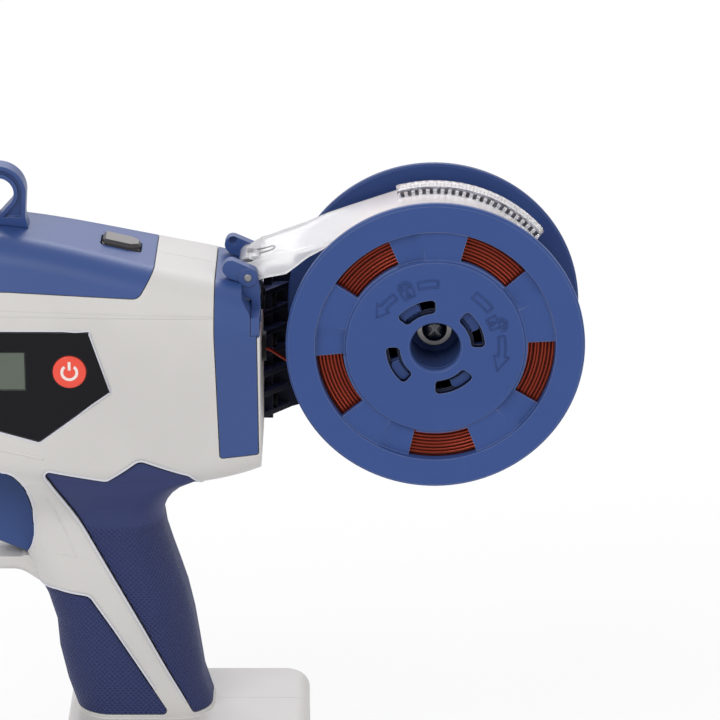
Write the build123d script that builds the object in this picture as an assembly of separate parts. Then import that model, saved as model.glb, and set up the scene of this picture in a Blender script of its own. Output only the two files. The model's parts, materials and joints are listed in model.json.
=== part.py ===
from build123d import *
import functools
import math
import os

os.makedirs("parts", exist_ok=True)

# Electric vine tying tool, millimetres, +Z up, nose towards -X, display side towards -Y.
# The origin is the middle of the flat bottom of the battery that the tool stands on.

# Clearances
PRESS = 0.02         # radial gap of a fixed fit
RUN = 0.08           # radial running clearance on pins and shafts
TOUCH = 0.1          # gap between two pieces that are screwed together
SEAM = 0.15          # half the visible gap between two mouldings
SEAT = 0.2           # gap under a piece that sits in a pocket
FREE = 0.5           # gap beside a piece that moves
WIDE = 60.0          # reach of a cut that goes right through
PASS = 1.0           # how far a cut runs past the face it opens

# Battery and the foot above it
PACK_LENGTH, PACK_WIDTH, PACK_HEIGHT = 84.0, 58.0, 48.0
PACK_WALL, PACK_R, PACK_EDGE_R = 2.4, 9.0, 2.0
LID_Z = PACK_HEIGHT - 14.0
CELL_R, CELL_LENGTH, CELL_SHIFT = 9.2, 65.2, 4.0
RAIL_NECK, RAIL_HEAD = 34.0, 41.0
RAIL_STEP = PACK_HEIGHT + 3.0
RAIL_TOP = RAIL_STEP + 4.0
RAIL_FRONT = -PACK_LENGTH / 2 + 4.0
RAIL_REAR = PACK_LENGTH / 2 - 14.0
CONTACT_Y = [-9.0, -3.0, 3.0, 9.0]
CONTACT_HALF, CONTACT_LENGTH, CONTACT_EDGE = 0.4, 8.0, 0.8
TERMINAL_HALF, TERMINAL_DEPTH = 14.0, 6.0
LATCH_WIDTH, LATCH_HEIGHT, LATCH_TRAVEL = 20.0, 9.0, 2.5
LATCH_Z, LATCH_DEPTH, LATCH_PROUD = PACK_HEIGHT - 7.0, 4.0, 1.0
FOOT_TOP = PACK_HEIGHT + SEAT + 12.8
FOOT_EDGE_R = 5.0

# Height of the twister's axis, from which the heights in the body and the grip are counted
AXIS_Z = FOOT_TOP + 121.0

# Housing: stations along X give the top and the bottom from the axis, and half the width
WALL = 3.2
REAR_WALL = 7.0
COVER_T = 2.4
INLAY = 0.15         # how far an inlaid piece lies below the surface round it
BAND_DEPTH = 1.7
PAD_DEPTH = 1.5
BODY_REAR, BODY_FRONT, BODY_HALF = 26.5, -128.0, 29.5
CREASE = 30.0        # the sides lean inwards above this height
CREASE_DROP = 13.0   # least height of the leaning part, where the body is low
LEAN = 21.6          # degrees
TOP_R, CREASE_R, BOTTOM_R = 12.0, 9.0, 11.0
STATIONS = [
    (BODY_REAR, 36.2, -26.3, BODY_HALF - 0.8),
    (10.0, 40.0, -30.7, BODY_HALF),
    (-30.0, 48.8, -33.4, BODY_HALF),
    (-62.0, 54.3, -31.2, BODY_HALF),
    (-98.0, 52.0, -23.5, BODY_HALF - 1.3),
    (BODY_FRONT, 45.0, -16.0, BODY_HALF - 7.5),
]
BULKHEADS = [-4.0, -44.0, -78.0, -110.0]
BULKHEAD_T = 2.4

# Grip: stations give the depth below the axis, the front, the back and half the width
GRIP_R = 13.0
GRIP_ROOM_HALF = 13.6
GRIP_LOW = AXIS_Z - FOOT_TOP
GRIP = [
    (GRIP_LOW + 1.0, -38.0, 9.5, 17.8),
    (GRIP_LOW - 11.0, -42.0, 5.8, 17.3),
    (98.0, -44.6, 4.1, 17.0),
    (88.0, -45.3, 2.6, 17.0),
    (78.0, -48.2, 0.4, 17.0),
    (70.0, -52.0, -2.1, 17.0),
    (63.0, -55.0, -4.4, 17.0),
    (56.0, -57.0, -6.5, 17.0),
    (50.0, -59.0, -7.4, 17.3),
    (46.0, -61.0, -7.0, 18.0),
    (42.0, -63.5, -5.5, 19.8),
    (38.0, -67.0, -3.0, 22.4),
    (34.0, -70.0, 1.0, 25.0),
    (30.0, -72.0, 9.0, 27.0),
    (25.0, -74.0, 14.0, 28.2),
]

# Trigger guard and the finger opening behind it
GUARD_HALF, GUARD_EDGE_R = 9.0, 3.0
GUARD_BOTTOM, GUARD_TOP = -69.2, -63.8
OPENING_REAR, OPENING_FRONT = -51.4, -96.0

# Screws that hold the two housing halves: x, height from the axis, half the width there
SCREWS = [
    (15.5, -23.6, 27.5), (5.0, 29.5, 27.5), (-118.0, -6.0, 24.0), (-118.0, 30.0, 24.0),
    (-10.0, -98.0, 17.0), (-33.0, -68.0, 17.0),
]
SCREW_HEAD_R, SCREW_HEAD_T, SCREW_R, BOSS_R = 3.0, 2.4, 1.5, 4.2
SCREW_SINK, SCREW_BLIND = 6.0, 8.0

# Spool on its axle
FLANGE_R, FLANGE_T, FLANGE_EDGE = 50.0, 3.0, 0.6
SPOOL_WIDTH = 48.0
SPOOL_X = BODY_REAR + 8.5 + FLANGE_R
SPOOL_Z = AXIS_Z + 18.0
DRUM_R, DRUM_WALL = 28.0, 2.5
HUB_BORE, HUB_WALL = 8.4, 2.4
HUB_STEP_Y = -3.7
HUB_END_Y, HUB_END_R = 27.8, 12.0
CORE_GAP = 0.3       # between the core and the flange locked on it
DISC_R, RING_R = 30.4, 40.0
RING_DEPTH, POCKET_DEPTH = 0.9, 2.0
WINDOWS, WINDOW_ANGLE, WINDOW_START = 5, 33.5, 41.25
POCKET_ANGLE, RAMP_ANGLE = 12.0, 4.5
LUGS, LUG_ANGLE, SLOT_ANGLE = 4, 28.0, 51.0
SLOT_IN, SLOT_OUT, SLOT_CORNER = 11.9, 16.6, 1.5
NECK_IN, NECK_OUT = 12.95, 15.75
HEAD_IN, HEAD_OUT, HEAD_T = 12.1, 16.4, 0.5
LEDGE_T = 0.5
AXLE_R, AXLE_END_Y = 5.0, -4.0
WASHER_R, WASHER_T = 6.0, 1.0
AXLE_SCREW_R, AXLE_SCREW_END, AXLE_HEAD_R, AXLE_HEAD_T = 2.0, 12.0, 4.2, 2.8

# Bracket that carries the axle on the far side
ARM_Y, ARM_T, ARM_WEB, ARM_RIM = 28.6, 6.0, 2.4, 3.0
ARM_LOW, ARM_HIGH = AXIS_Z - 25.4, AXIS_Z + 27.0
ARM_EYE_R, ARM_BOSS_R = 17.0, 11.0
ARM_BACK = BODY_REAR + TOUCH
ARM_KNEE = ARM_BACK + 21.7
BASE_T, BASE_Y, BOSS_HALF = 3.0, 21.0, 3.0
FINS, FIN_T, FIN_STEP, FIN_LOW = 7, 1.8, 7.4, AXIS_Z - 22.8
FIN_Y, FIN_REACH, WEDGE_REACH = 17.5, 9.1, 4.1
BRACKET_SCREW_Y, BRACKET_SCREW_R = 24.5, 1.5
BRACKET_SCREW_Z = [FIN_LOW + FIN_T / 2 + FIN_STEP * step for step in (0.5, 3.5, 5.5)]
REAR_SCREW_REACH = 6.2

# Wire on the spool and its way into the body
WIRE_R = 0.6
COIL_R = 41.6
COIL_TURNS = 24
COIL_PITCH = 1.66
LAYER_PITCH = 1.3
LEAVE_ANGLE, LEAVE_Y, LEAVE_GAP = 231.0, 10.6, 0.3
WIRE_Z = AXIS_Z + 22.0
INLET_Z = AXIS_Z + 10.0
INLET_R, INLET_RIM_R, INLET_RIM, INLET_BORE = 3.5, 5.0, 1.5, 1.6
TUBE_R, TUBE_BORE = 1.8, WIRE_R + 0.35
TUBE_REAR = BODY_REAR - REAR_WALL - 0.6
WIRE_DIP, WIRE_LIFT = 12.8, 0.2    # where the way leaves the inlet's height and meets the tube's
WIRE_BEND, MOUTH_BEND = 14.0, 8.0
WIRE_END = -148.0

# Clear guard over the coil, its yoke, pin and spring
PIN_X, PIN_Z, PIN_R = BODY_REAR - 4.1, AXIS_Z + 39.5, 1.35
YOKE_HALF, EAR_T, EAR_RIM_R, EAR_RIM = 15.0, 4.0, 3.2, 0.4
YOKE_SEAT, WEB_REAR = BODY_REAR - 3.0, BODY_REAR - TOUCH
WEB_LOW, WEB_HIGH, WING_HIGH = PIN_Z - 15.8, PIN_Z - 8.6, PIN_Z - 10.4
YOKE_SCREW_Y, YOKE_SCREW_Z, YOKE_SCREW_R = 5.0, PIN_Z - 12.2, 1.3
STOP_X, STOP_Z, STOP_R, STOP_DEPTH = PIN_X - 5.6, PIN_Z + 4.6, 1.4, 1.5
SPRING_Y0, SPRING_Y1 = -8.7, -3.6
SPRING_WIRE, SPRING_R, SPRING_TURNS, SPRING_PITCH = 0.42, 2.9, 3, 1.27
BARREL_R = 3.4
GUARD_PLATE, GUARD_GAP, GUARD_WALL = 2.0, 1.2, 2.0
GUARD_ROOT_HALF, GUARD_ARC_HALF = 10.6, 16.0
GUARD_START, GUARD_END = 107.0, 39.0
GUARD_NECK, GUARD_SPREAD = PIN_X + 6.3, PIN_X + 26.8
COMB_HALF, COMB_HEIGHT, COMB_R = 6.5, 4.2, 1.6
COMB_TEETH, COMB_GROOVE, COMB_TOP, COMB_FOOT = 21, 1.5, 0.9, 0.3
REAR_SCREWS = [(BRACKET_SCREW_Y, z, BRACKET_SCREW_R, ARM_BACK + BASE_T) for z in BRACKET_SCREW_Z]
REAR_SCREWS += [(side * YOKE_SCREW_Y, YOKE_SCREW_Z, YOKE_SCREW_R, WEB_REAR) for side in (-1, 1)]

# Display, buttons, hanging eye and trigger
PANEL_T = 1.0
LCD_X, LCD_Z, LCD_LENGTH, LCD_HEIGHT = -65.3, AXIS_Z + 11.4, 27.0, 13.0
POWER_X, POWER_Z, POWER_R = -36.9, AXIS_Z + 11.3, 5.6
POWER_PROUD, POWER_GAP, POWER_EDGE_R = 0.6, 1.0, 0.5
BOARD_Y, BOARD_T = -BODY_HALF + 5.3, 1.6
BOARD_FRONT, BOARD_REAR, BOARD_LOW, BOARD_HIGH = -82.0, -28.0, AXIS_Z - 10.0, AXIS_Z + 22.0
POST_R, POST_IN = 2.0, 4.0
FEED_X, FEED_Z, FEED_TILT = -20.5, AXIS_Z + 46.6, 13.0
FEED_LENGTH, FEED_WIDTH, FEED_PROUD, FEED_DEPTH = 13.0, 10.0, 1.9, 4.8
EYE_X, EYE_TOP, EYE_HALF, EYE_HOLE, EYE_T = -61.4, AXIS_Z + 74.8, 9.5, 5.4, 7.0
EYE_FOOT, EYE_BASE, EYE_TIP = AXIS_Z + 52.0, AXIS_Z + 57.0, AXIS_Z + 57.2
EYE_FLARE, EYE_RIM, EYE_SINK = 0.8, 1.3, 1.3
SHANK_HALF, SHANK_T, SHANK_LOW = 5.5, 5.2, AXIS_Z + 47.5
TRIGGER_HALF, TRIGGER_EDGE_R = 8.5, 2.0
TRIGGER_Z = AXIS_Z - 47.0
TRIGGER_REAR = -41.0
TRIGGER_LOW, TRIGGER_HIGH = -62.8, -31.6
SWITCH_FRONT, SWITCH_REAR, SWITCH_HALF, SWITCH_RISE = -33.0, -15.0, 6.0, 9.0
PLUNGER_R, PLUNGER_SEAT, PLUNGER_IN, PLUNGER_BORE = 2.0, 4.0, 4.0, 12.0

# Drive and feed
MOTOR_R, MOTOR_REAR, MOTOR_FRONT = 18.0, 0.0, -50.0
GEARBOX_R, GEARBOX_FRONT = 17.0, -84.0
SHAFT_R, SHAFT_END = 4.0, BODY_FRONT - 4.0
BEARING_R, BEARING_FRONT, BEARING_REAR = 9.0, -114.0, -107.0
TWIST_HEAD_R, TWIST_HEAD_END, TWIST_SLOT, TWIST_SLOT_DEPTH = 6.5, BODY_FRONT - 23.5, 1.1, 5.5
ROLLER_X, ROLLER_R, ROLLER_HALF, ROLLER_PIN_R, ROLLER_PIN_HALF = -100.0, 5.0, 4.5, 2.0, 8.6
NIP = WIRE_R + 0.1
DRIVEN_Z, IDLER_Z = WIRE_Z - NIP - ROLLER_R, WIRE_Z + NIP + ROLLER_R
FRAME_IN, FRAME_OUT, FRAME_FRONT, FRAME_REAR = 6.0, 8.0, ROLLER_X - 8.7, ROLLER_X + 7.0
FEED_MOTOR_R, FEED_MOTOR_IN, FEED_MOTOR_OUT = 8.6, 8.8, 22.5

# Hook, jaws and nose
ACTUATOR_R, ACTUATOR_Z = 8.5, AXIS_Z + 37.0
ACTUATOR_REAR, ACTUATOR_FRONT, ACTUATOR_BORE = -40.0, -88.0, 16.0
ROD_R, ROD_IN = 2.0, 8.0
HOOK_X, HOOK_Z = BODY_FRONT - 11.0, AXIS_Z + 30.5
HOOK_SWING, HOOK_HALF, HOOK_HUB_R = 45.0, 3.0, 4.2
HOOK_PIN_R, HOOK_PIN_HALF = 2.0, 10.0
LEVER, LEVER_R, LEVER_PIN_R, LEVER_PIN_HALF = ACTUATOR_Z - HOOK_Z, 2.2, 1.2, 4.6
FORK_HALF, FORK_FRONT, FORK_GAP, FORK_REAR = 4.8, 3.0, 4.4, 6.0
JAW_X, JAW_Z, JAW_R, JAW_BAR, JAW_HALF = BODY_FRONT - 33.0, AXIS_Z + 7.0, 22.0, 6.0, 7.0
NOSE_FRONT = BODY_FRONT - 22.0
NOSE_SCREWS = [(-11.5, AXIS_Z - 4.0), (11.5, AXIS_Z - 4.0)]
NOSE_SEAT, NOSE_SCREW, NOSE_SCREW_R = BODY_FRONT - 9.0, 13.0, 1.45
NOSE_HEAD_R, NOSE_HEAD_T = 2.8, 2.2
TANG_LOW, TANG_HIGH, TANG_REAR = AXIS_Z - 17.5, AXIS_Z - 8.6, BODY_FRONT - 6.0
CUTTER_T, CUTTER_IN, CUTTER_OUT = 1.1, WIRE_R + 0.3, 8.0
CUTTER_LOW, CUTTER_HIGH = WIRE_Z - 4.0, WIRE_Z + 2.8


def save(name, shape):
    export_step(shape, f"parts/{name}.step")


def outline(points):
    """Closed face through (x, y, corner radius) points."""
    corners = [(x, y) for x, y, _ in points]
    radii = [radius for _, _, radius in points]
    return make_face(FilletPolyline(*corners, radius=radii, close=True))


def side_view(points):
    """Outline whose heights are counted from the axis."""
    return outline([(x, AXIS_Z + rise, radius) for x, rise, radius in points])


def side_slab(face, y0, y1):
    """Side view face pushed from y0 to y1."""
    return extrude(Plane.XZ.offset(-y0) * face, y0 - y1)


def through(face):
    """Side view face pushed right through."""
    return side_slab(face, -WIDE, WIDE)


def block(x0, x1, y0, y1, z0, z1):
    centre = Pos((x0 + x1) / 2, (y0 + y1) / 2, (z0 + z1) / 2)
    return centre * Box(x1 - x0, y1 - y0, z1 - z0)


def bar(x0, x1, half, z0, z1):
    """Block centred on the middle plane."""
    return block(x0, x1, -half, half, z0, z1)


def across(x, z, y0, y1, radius):
    """Cylinder along Y."""
    return Pos(x, (y0 + y1) / 2, z) * Rot(90, 0, 0) * Cylinder(radius, y1 - y0)


def along(x0, x1, y, z, radius):
    """Cylinder along X."""
    return Pos((x0 + x1) / 2, y, z) * Rot(0, 90, 0) * Cylinder(radius, x1 - x0)


def turned(points):
    """Solid turned about the spool axis from (radius, y) points."""
    face = make_face(Polyline(*points, close=True))
    return Pos(SPOOL_X, 0, SPOOL_Z) * revolve(face, Axis.Y, 360)


def polar(x, z, radius, angle):
    turn = math.radians(angle)
    return (x + radius * math.cos(turn), z + radius * math.sin(turn))


def ring_face(x, z, r0, r1, start, end):
    """Piece of a flat ring, angles from +X towards +Z."""
    steps = [start, (start + end) / 2, end]
    outer = [polar(x, z, r1, angle) for angle in steps]
    inner = [polar(x, z, r0, angle) for angle in steps]
    return make_face([
        ThreePointArc(*outer),
        Line(outer[2], inner[2]),
        ThreePointArc(*reversed(inner)),
        Line(inner[0], outer[0]),
    ])


def sector(r0, r1, start, sweep_angle, y0, y1):
    """Piece of a ring about the spool axis."""
    return side_slab(ring_face(SPOOL_X, SPOOL_Z, r0, r1, start, start + sweep_angle), y0, y1)


def rounded_sector(r0, r1, start, sweep_angle, y0, y1):
    piece = sector(r0, r1, start, sweep_angle, y0, y1)
    return fillet(piece.edges().filter_by(Axis.Y), SLOT_CORNER)


def mirrored(shape):
    """The shape with its mirror image across the middle plane."""
    return shape + mirror(shape, Plane.XZ)


def largest(shape):
    """The main solid, without any sliver that a cut leaves."""
    return max(shape.solids(), key=lambda solid: solid.volume)


def grow(face, amount):
    return offset(face, amount=amount, kind=Kind.INTERSECTION)


# Housing forms, each also available inset by a wall thickness

def body_section(x, top, bottom, half, inset):
    lean = math.radians(LEAN)
    crease_rise = min(CREASE, top - CREASE_DROP)
    crease = crease_rise - inset * math.tan(lean / 2)
    rise = top - inset - crease_rise
    top_half = half - (inset + rise * math.sin(lean)) / math.cos(lean)
    side = half - inset
    right = [
        (side, AXIS_Z + bottom + inset, BOTTOM_R - inset),
        (side, AXIS_Z + crease, CREASE_R - inset),
        (top_half, AXIS_Z + top - inset, TOP_R - inset),
    ]
    left = [(-y, z, radius) for y, z, radius in reversed(right)]
    return Plane.YZ.offset(x) * outline(right + left)


@functools.lru_cache(maxsize=None)
def body_form(inset, rear_inset=None):
    rear = BODY_REAR - (inset if rear_inset is None else rear_inset)
    stations = [list(station) for station in STATIONS]
    stations[0][0] = rear
    stations[-1][0] = BODY_FRONT + inset
    return loft([body_section(*station, inset) for station in stations])


@functools.lru_cache(maxsize=None)
def grip_form(inset):
    """Both ends reach further as the form is inset, so that no two forms share an end plane."""
    sections = []
    for index, (drop, front, back, half) in enumerate(GRIP):
        shape = RectangleRounded(back - front - 2 * inset, 2 * (half - inset), GRIP_R - inset)
        reach = {0: -inset, len(GRIP) - 1: inset}.get(index, 0)
        sections.append(Plane.XY.offset(AXIS_Z - drop + reach) * Pos((front + back) / 2, 0) * shape)
    return loft(sections, ruled=True)


@functools.lru_cache(maxsize=None)
def handle_form(inset):
    return body_form(inset) + grip_form(inset)


def grip_room():
    """Space inside the grip, with a narrow way for the trigger at the front."""
    floor = 1.0 - GRIP_LOW
    room = side_slab(side_view([
        (-32.5, floor, 0), (3.4, floor, 0), (-12.6, -52.0, 0), (-12.6, -46.0, 0),
        (-6.0, -22.0, 0), (-39.0, -22.0, 0), (-39.0, -98.0, 0),
    ]), -GRIP_ROOM_HALF, GRIP_ROOM_HALF)
    way = bar(-64.0, TRIGGER_REAR + 4.0, TRIGGER_HALF + FREE,
              AXIS_Z + TRIGGER_LOW - FREE, AXIS_Z + TRIGGER_HIGH + FREE)
    return room + way


# Outlines of the inlaid pieces and of the cuts in side view

PAD_LOW = 1.5 - GRIP_LOW
COVER_FACE = side_view([
    (-5.6, 70.0, 0), (-6.0, 48.0, 8), (-13.8, 35.9, 3.5), (-60.0, 38.3, 40), (-112.0, 32.0, 3),
    (-121.0, 70.0, 0),
])
BAND_FACE = side_view([
    (12.4, 118.0, 0), (11.3, 24.0, 60), (12.8, -19.8, 1), (BODY_REAR - 0.6, -18.6, 1),
    (BODY_REAR - 1.1, 33.0, 0), (BODY_REAR - 1.1, 118.0, 0),
])
PANEL_FACE = side_view([
    (-30.2, 25.2, 0.6), (-23.4, 4.3, 0.6), (-47.6, -13.8, 1.2), (-88.5, -1.8, 1.2),
    (-95.5, 11.6, 0.6), (-90.5, 25.4, 0.6),
])
REAR_PAD_FACE = side_view([
    (-46.8, -24.4, 1.2), (-25.5, -28.8, 3), (-14.1, -20.7, 3), (2.0, -26.4, 2), (6.4, -31.2, 2),
    (WIDE, -43.0, 0), (WIDE, PAD_LOW, 0), (2.1, PAD_LOW, 1.5), (-14.1, -87.4, 0), (-30.1, -56.8, 80),
    (-41.0, -35.0, 40),
])
FRONT_PAD_FACE = side_view([
    (-70.0, -74.0, 0), (-44.0, -73.4, 4), (-33.2, -75.4, 3), (-25.5, -87.4, 0), (-6.0, PAD_LOW, 1.5),
    (-70.0, PAD_LOW, 0),
])
OPENING_FACE = side_view([
    (OPENING_REAR - 9.1, -25.0, 0), (OPENING_REAR - 6.6, -30.0, 2), (OPENING_REAR, -40.0, 18),
    (OPENING_REAR, -56.0, 14), (OPENING_REAR - 4.1, GUARD_TOP, 3), (OPENING_FRONT, GUARD_TOP, 12),
    (OPENING_FRONT - 5.0, -25.0, 6),
])
GUARD_FACE = side_view([
    (-36.0, -86.0, 0), (-47.5, -75.8, 9), (-57.0, GUARD_BOTTOM, 9), (OPENING_FRONT - 4.5, GUARD_BOTTOM, 16),
    (OPENING_FRONT - 10.0, -18.0, 0), (-36.0, -18.0, 0),
])
TRIGGER_FACE = side_view([
    (TRIGGER_REAR, TRIGGER_HIGH, 3), (-62.0, TRIGGER_HIGH, 4), (-70.0, -36.0, 4), (-67.8, -47.0, 9),
    (-70.0, -56.0, 3.5), (-54.0, TRIGGER_LOW, 4), (TRIGGER_REAR, TRIGGER_LOW, 3),
])
EAR_FACE = outline([
    (PIN_X - 6.8, PIN_Z + 6.8, 2.6), (PIN_X - 9.0, PIN_Z + 2.8, 2.6), (PIN_X - 6.8, PIN_Z - 0.2, 2),
    (PIN_X - 2.7, PIN_Z - 1.6, 1), (PIN_X - 2.4, PIN_Z - 6.0, 0.8), (YOKE_SEAT, PIN_Z - 7.7, 0.8),
    (YOKE_SEAT, WEB_LOW, 0.4), (BODY_REAR + 0.2, WEB_LOW, 0.4), (PIN_X + 4.0, PIN_Z - 4.2, 4),
    (PIN_X + 3.0, PIN_Z + 2.4, 2.2),
])
HINGE_CUT = outline([
    (PIN_X - 2.6, PIN_Z + 12.0, 0), (PIN_X - 2.0, PIN_Z - 4.7, 2), (YOKE_SEAT - SEAT, PIN_Z - 9.6, 2),
    (YOKE_SEAT - SEAT, WEB_LOW - SEAT, 0), (PIN_X + 22.0, WEB_LOW - SEAT, 0), (PIN_X + 22.0, PIN_Z + 12.0, 0),
])
EAR_POCKET = outline([
    (PIN_X - 3.6, PIN_Z + 12.0, 0), (PIN_X - 3.0, PIN_Z - 6.8, 1), (YOKE_SEAT - 2 * SEAT, PIN_Z - 8.6, 1),
    (YOKE_SEAT - 2 * SEAT, WEB_LOW - 0.8, 0), (PIN_X + 22.0, WEB_LOW - 0.8, 0),
    (PIN_X + 22.0, PIN_Z + 12.0, 0),
])


def trigger_guard():
    loop = side_slab(GUARD_FACE, -GUARD_HALF, GUARD_HALF)
    rims = [edge for edge in loop.edges() if abs(abs(edge.center().Y) - GUARD_HALF) < 0.01]
    lower = [edge for edge in rims if edge.center().Z < AXIS_Z - 32 and edge.center().X < -37]
    return fillet(lower, GUARD_EDGE_R)


def foot():
    plan = Pos(0, 0, PACK_HEIGHT + SEAT) * RectangleRounded(PACK_LENGTH, PACK_WIDTH, PACK_R)
    slab = extrude(plan, FOOT_TOP - PACK_HEIGHT - SEAT)
    return fillet(slab.edges().group_by(Axis.Z)[-1], FOOT_EDGE_R)


def rail_slot(gap):
    """T-shaped space of the battery rail, open to the front."""
    neck = bar(-PACK_LENGTH, RAIL_REAR + gap, RAIL_NECK / 2 + gap, PACK_HEIGHT - 1, RAIL_STEP + gap)
    head = bar(-PACK_LENGTH, RAIL_REAR + gap, RAIL_HEAD / 2 + gap, RAIL_STEP - gap, RAIL_TOP + gap)
    return neck + head


def bulkhead(x):
    slab = bar(x - BULKHEAD_T / 2, x + BULKHEAD_T / 2, BODY_HALF, AXIS_Z - 42, AXIS_Z + 58)
    return slab & body_form(WALL / 2)


def housing():
    outer = handle_form(0) + trigger_guard() + foot()
    outer -= through(OPENING_FACE)
    shell = outer - (body_form(WALL, REAR_WALL) + grip_room())
    for x in BULKHEADS:
        shell += bulkhead(x)
    for x, rise, half in SCREWS:
        shell += across(x, AXIS_Z + rise, -half, half, BOSS_R) & outer
    return shell


def drive_spaces():
    """Room for the drive through the bulkheads and the front wall."""
    front = BODY_FRONT - 12
    return [
        along(MOTOR_FRONT, MOTOR_REAR + 1, 0, AXIS_Z, MOTOR_R + SEAT),
        along(GEARBOX_FRONT - 1, MOTOR_FRONT, 0, AXIS_Z, GEARBOX_R + SEAT),
        along(front, GEARBOX_FRONT, 0, AXIS_Z, SHAFT_R + FREE),
        along(BEARING_FRONT - 1, BEARING_REAR + 3, 0, AXIS_Z, BEARING_R + SEAT),
        along(ACTUATOR_FRONT - 1, ACTUATOR_REAR + 1, 0, ACTUATOR_Z, ACTUATOR_R + SEAT),
        along(front, ACTUATOR_FRONT, 0, ACTUATOR_Z, ROD_R + FREE),
        along(front, WIRE_LIFT + 8, 0, WIRE_Z, TUBE_R + FREE),
        block(BOARD_FRONT - 2, BOARD_REAR + 2, BOARD_Y - 2.8, BOARD_Y + BOARD_T + 1.2,
              BOARD_LOW - 2, BOARD_HIGH + 2),
    ]


def inlay_spaces():
    """Recesses in the housing for the pieces set into its surface."""
    spaces = [
        through(grow(COVER_FACE, SEAM)),
        through(grow(BAND_FACE, SEAM)) - body_form(BAND_DEPTH + SEAT, -PASS),
        side_slab(grow(PANEL_FACE, SEAM), -WIDE, -20) - body_form(INLAY + PANEL_T + SEAT),
        lcd_block(SEAT),
        across(POWER_X, POWER_Z, -BODY_HALF - 10, BOARD_Y, POWER_R + FREE),
        hinge_space(),
    ]
    for pad in (REAR_PAD_FACE, FRONT_PAD_FACE):
        spaces.append(through(grow(pad, SEAM)) - handle_form(PAD_DEPTH + SEAT))
    return spaces


def screw_spaces():
    spaces = []
    for x, rise, half in SCREWS:
        spaces.append(across(x, AXIS_Z + rise, SCREW_BLIND - half, WIDE, SCREW_R + SEAM))
        spaces.append(across(x, AXIS_Z + rise, half - SCREW_SINK, WIDE, SCREW_HEAD_R + SEAM))
    for y, z in NOSE_SCREWS:
        spaces.append(along(NOSE_SEAT, NOSE_SEAT + NOSE_SCREW + 1, y, z, NOSE_SCREW_R + SEAM))
    for y, z, shank, _ in REAR_SCREWS:
        spaces.append(along(BODY_REAR - REAR_SCREW_REACH - 1, BODY_REAR + 1, y, z, shank + SEAM))
    return spaces


def hinge_space():
    return through(HINGE_CUT) + side_slab(EAR_POCKET, -YOKE_HALF - FREE, YOKE_HALF + FREE)


def shells():
    shell = housing()
    for space in drive_spaces() + inlay_spaces() + screw_spaces():
        shell -= space
    shell -= rail_slot(SEAT)
    shell -= along(BODY_REAR - REAR_WALL - 2, BODY_REAR + 1, 0, INLET_Z, INLET_R + SEAM)
    shell -= terminal_space()
    for x in (BOARD_FRONT + POST_IN, BOARD_REAR - POST_IN):
        for z in (BOARD_LOW + POST_R, BOARD_HIGH - POST_R):
            shell += across(x, z, BOARD_Y - 2.8, BOARD_Y - SEAM, POST_R)
    ledge = block(SWITCH_FRONT + 5, SWITCH_REAR - 4, SWITCH_HALF + SEAM, GRIP_ROOM_HALF + 1,
                  TRIGGER_Z - 4, TRIGGER_Z + 4)
    shell += mirrored(ledge)
    left = shell & block(-300, 300, -100, -PRESS, -10, 400)
    right = shell & block(-300, 300, PRESS, 100, -10, 400)
    return left, right


# Inlaid pieces

def top_cover():
    cover = (body_form(0) - body_form(COVER_T)) & through(grow(COVER_FACE, -SEAM))
    return cover - feed_slot() - eye_shank(SEAT)


def feed_place():
    return Pos(FEED_X, 0, FEED_Z) * Rot(0, FEED_TILT, 0)


def feed_slot():
    size = (FEED_LENGTH + 2 * FREE, FEED_WIDTH + 2 * FREE)
    return feed_place() * extrude(RectangleRounded(*size, 1.6), 12, both=True)


def feed_button():
    key = extrude(RectangleRounded(FEED_LENGTH, FEED_WIDTH, 1.2), FEED_PROUD)
    key = chamfer(key.edges().group_by(Axis.Z)[-1], 0.9)
    key += Pos(0, 0, -FEED_DEPTH / 2) * Box(FEED_LENGTH, FEED_WIDTH, FEED_DEPTH)
    key += Pos(0, 0, -FEED_DEPTH) * Box(FEED_LENGTH + 4, FEED_WIDTH + 4, 1.2)
    key += Pos(0, 0, -FEED_DEPTH - 2) * Cylinder(1.8, 4)
    return feed_place() * key


def rear_band():
    band = (body_form(INLAY) - body_form(BAND_DEPTH, -PASS)) & through(grow(BAND_FACE, -SEAM))
    return band - hinge_space()


def display_panel():
    panel = body_form(INLAY) - body_form(INLAY + PANEL_T)
    panel &= side_slab(grow(PANEL_FACE, -SEAM), -WIDE, -20)
    panel -= lcd_block(SEAM)
    return panel - across(POWER_X, POWER_Z, -BODY_HALF - 10, -20, POWER_R + SEAT)


def lcd_block(gap):
    return block(LCD_X - LCD_LENGTH / 2 - gap, LCD_X + LCD_LENGTH / 2 + gap,
                 -BODY_HALF + 0.3 - 10 * gap, BOARD_Y - SEAT + gap,
                 LCD_Z - LCD_HEIGHT / 2 - gap, LCD_Z + LCD_HEIGHT / 2 + gap)


def power_button():
    key = across(POWER_X, POWER_Z, -BODY_HALF - POWER_PROUD, BOARD_Y - POWER_GAP, POWER_R)
    return fillet(key.edges().group_by(Axis.Y)[0], POWER_EDGE_R)


def control_board():
    board = block(BOARD_FRONT, BOARD_REAR, BOARD_Y, BOARD_Y + BOARD_T, BOARD_LOW, BOARD_HIGH)
    board += block(POWER_X - 3, POWER_X + 3, BOARD_Y - SEAM, BOARD_Y, POWER_Z - 3, POWER_Z + 3)
    chip_x, chip_z = BOARD_FRONT + 22, BOARD_HIGH - 4.5
    board += block(chip_x - 6, chip_x + 6, BOARD_Y + BOARD_T, BOARD_Y + BOARD_T + 0.9,
                   chip_z - 3.5, chip_z + 3.5)
    return board


def grip_pad(face):
    return (handle_form(INLAY) & through(grow(face, -SEAM))) - handle_form(PAD_DEPTH)


def eye_shank(gap):
    return bar(EYE_X - SHANK_HALF - gap, EYE_X + SHANK_HALF + gap, SHANK_T / 2 + gap, SHANK_LOW, EYE_TIP)


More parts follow.
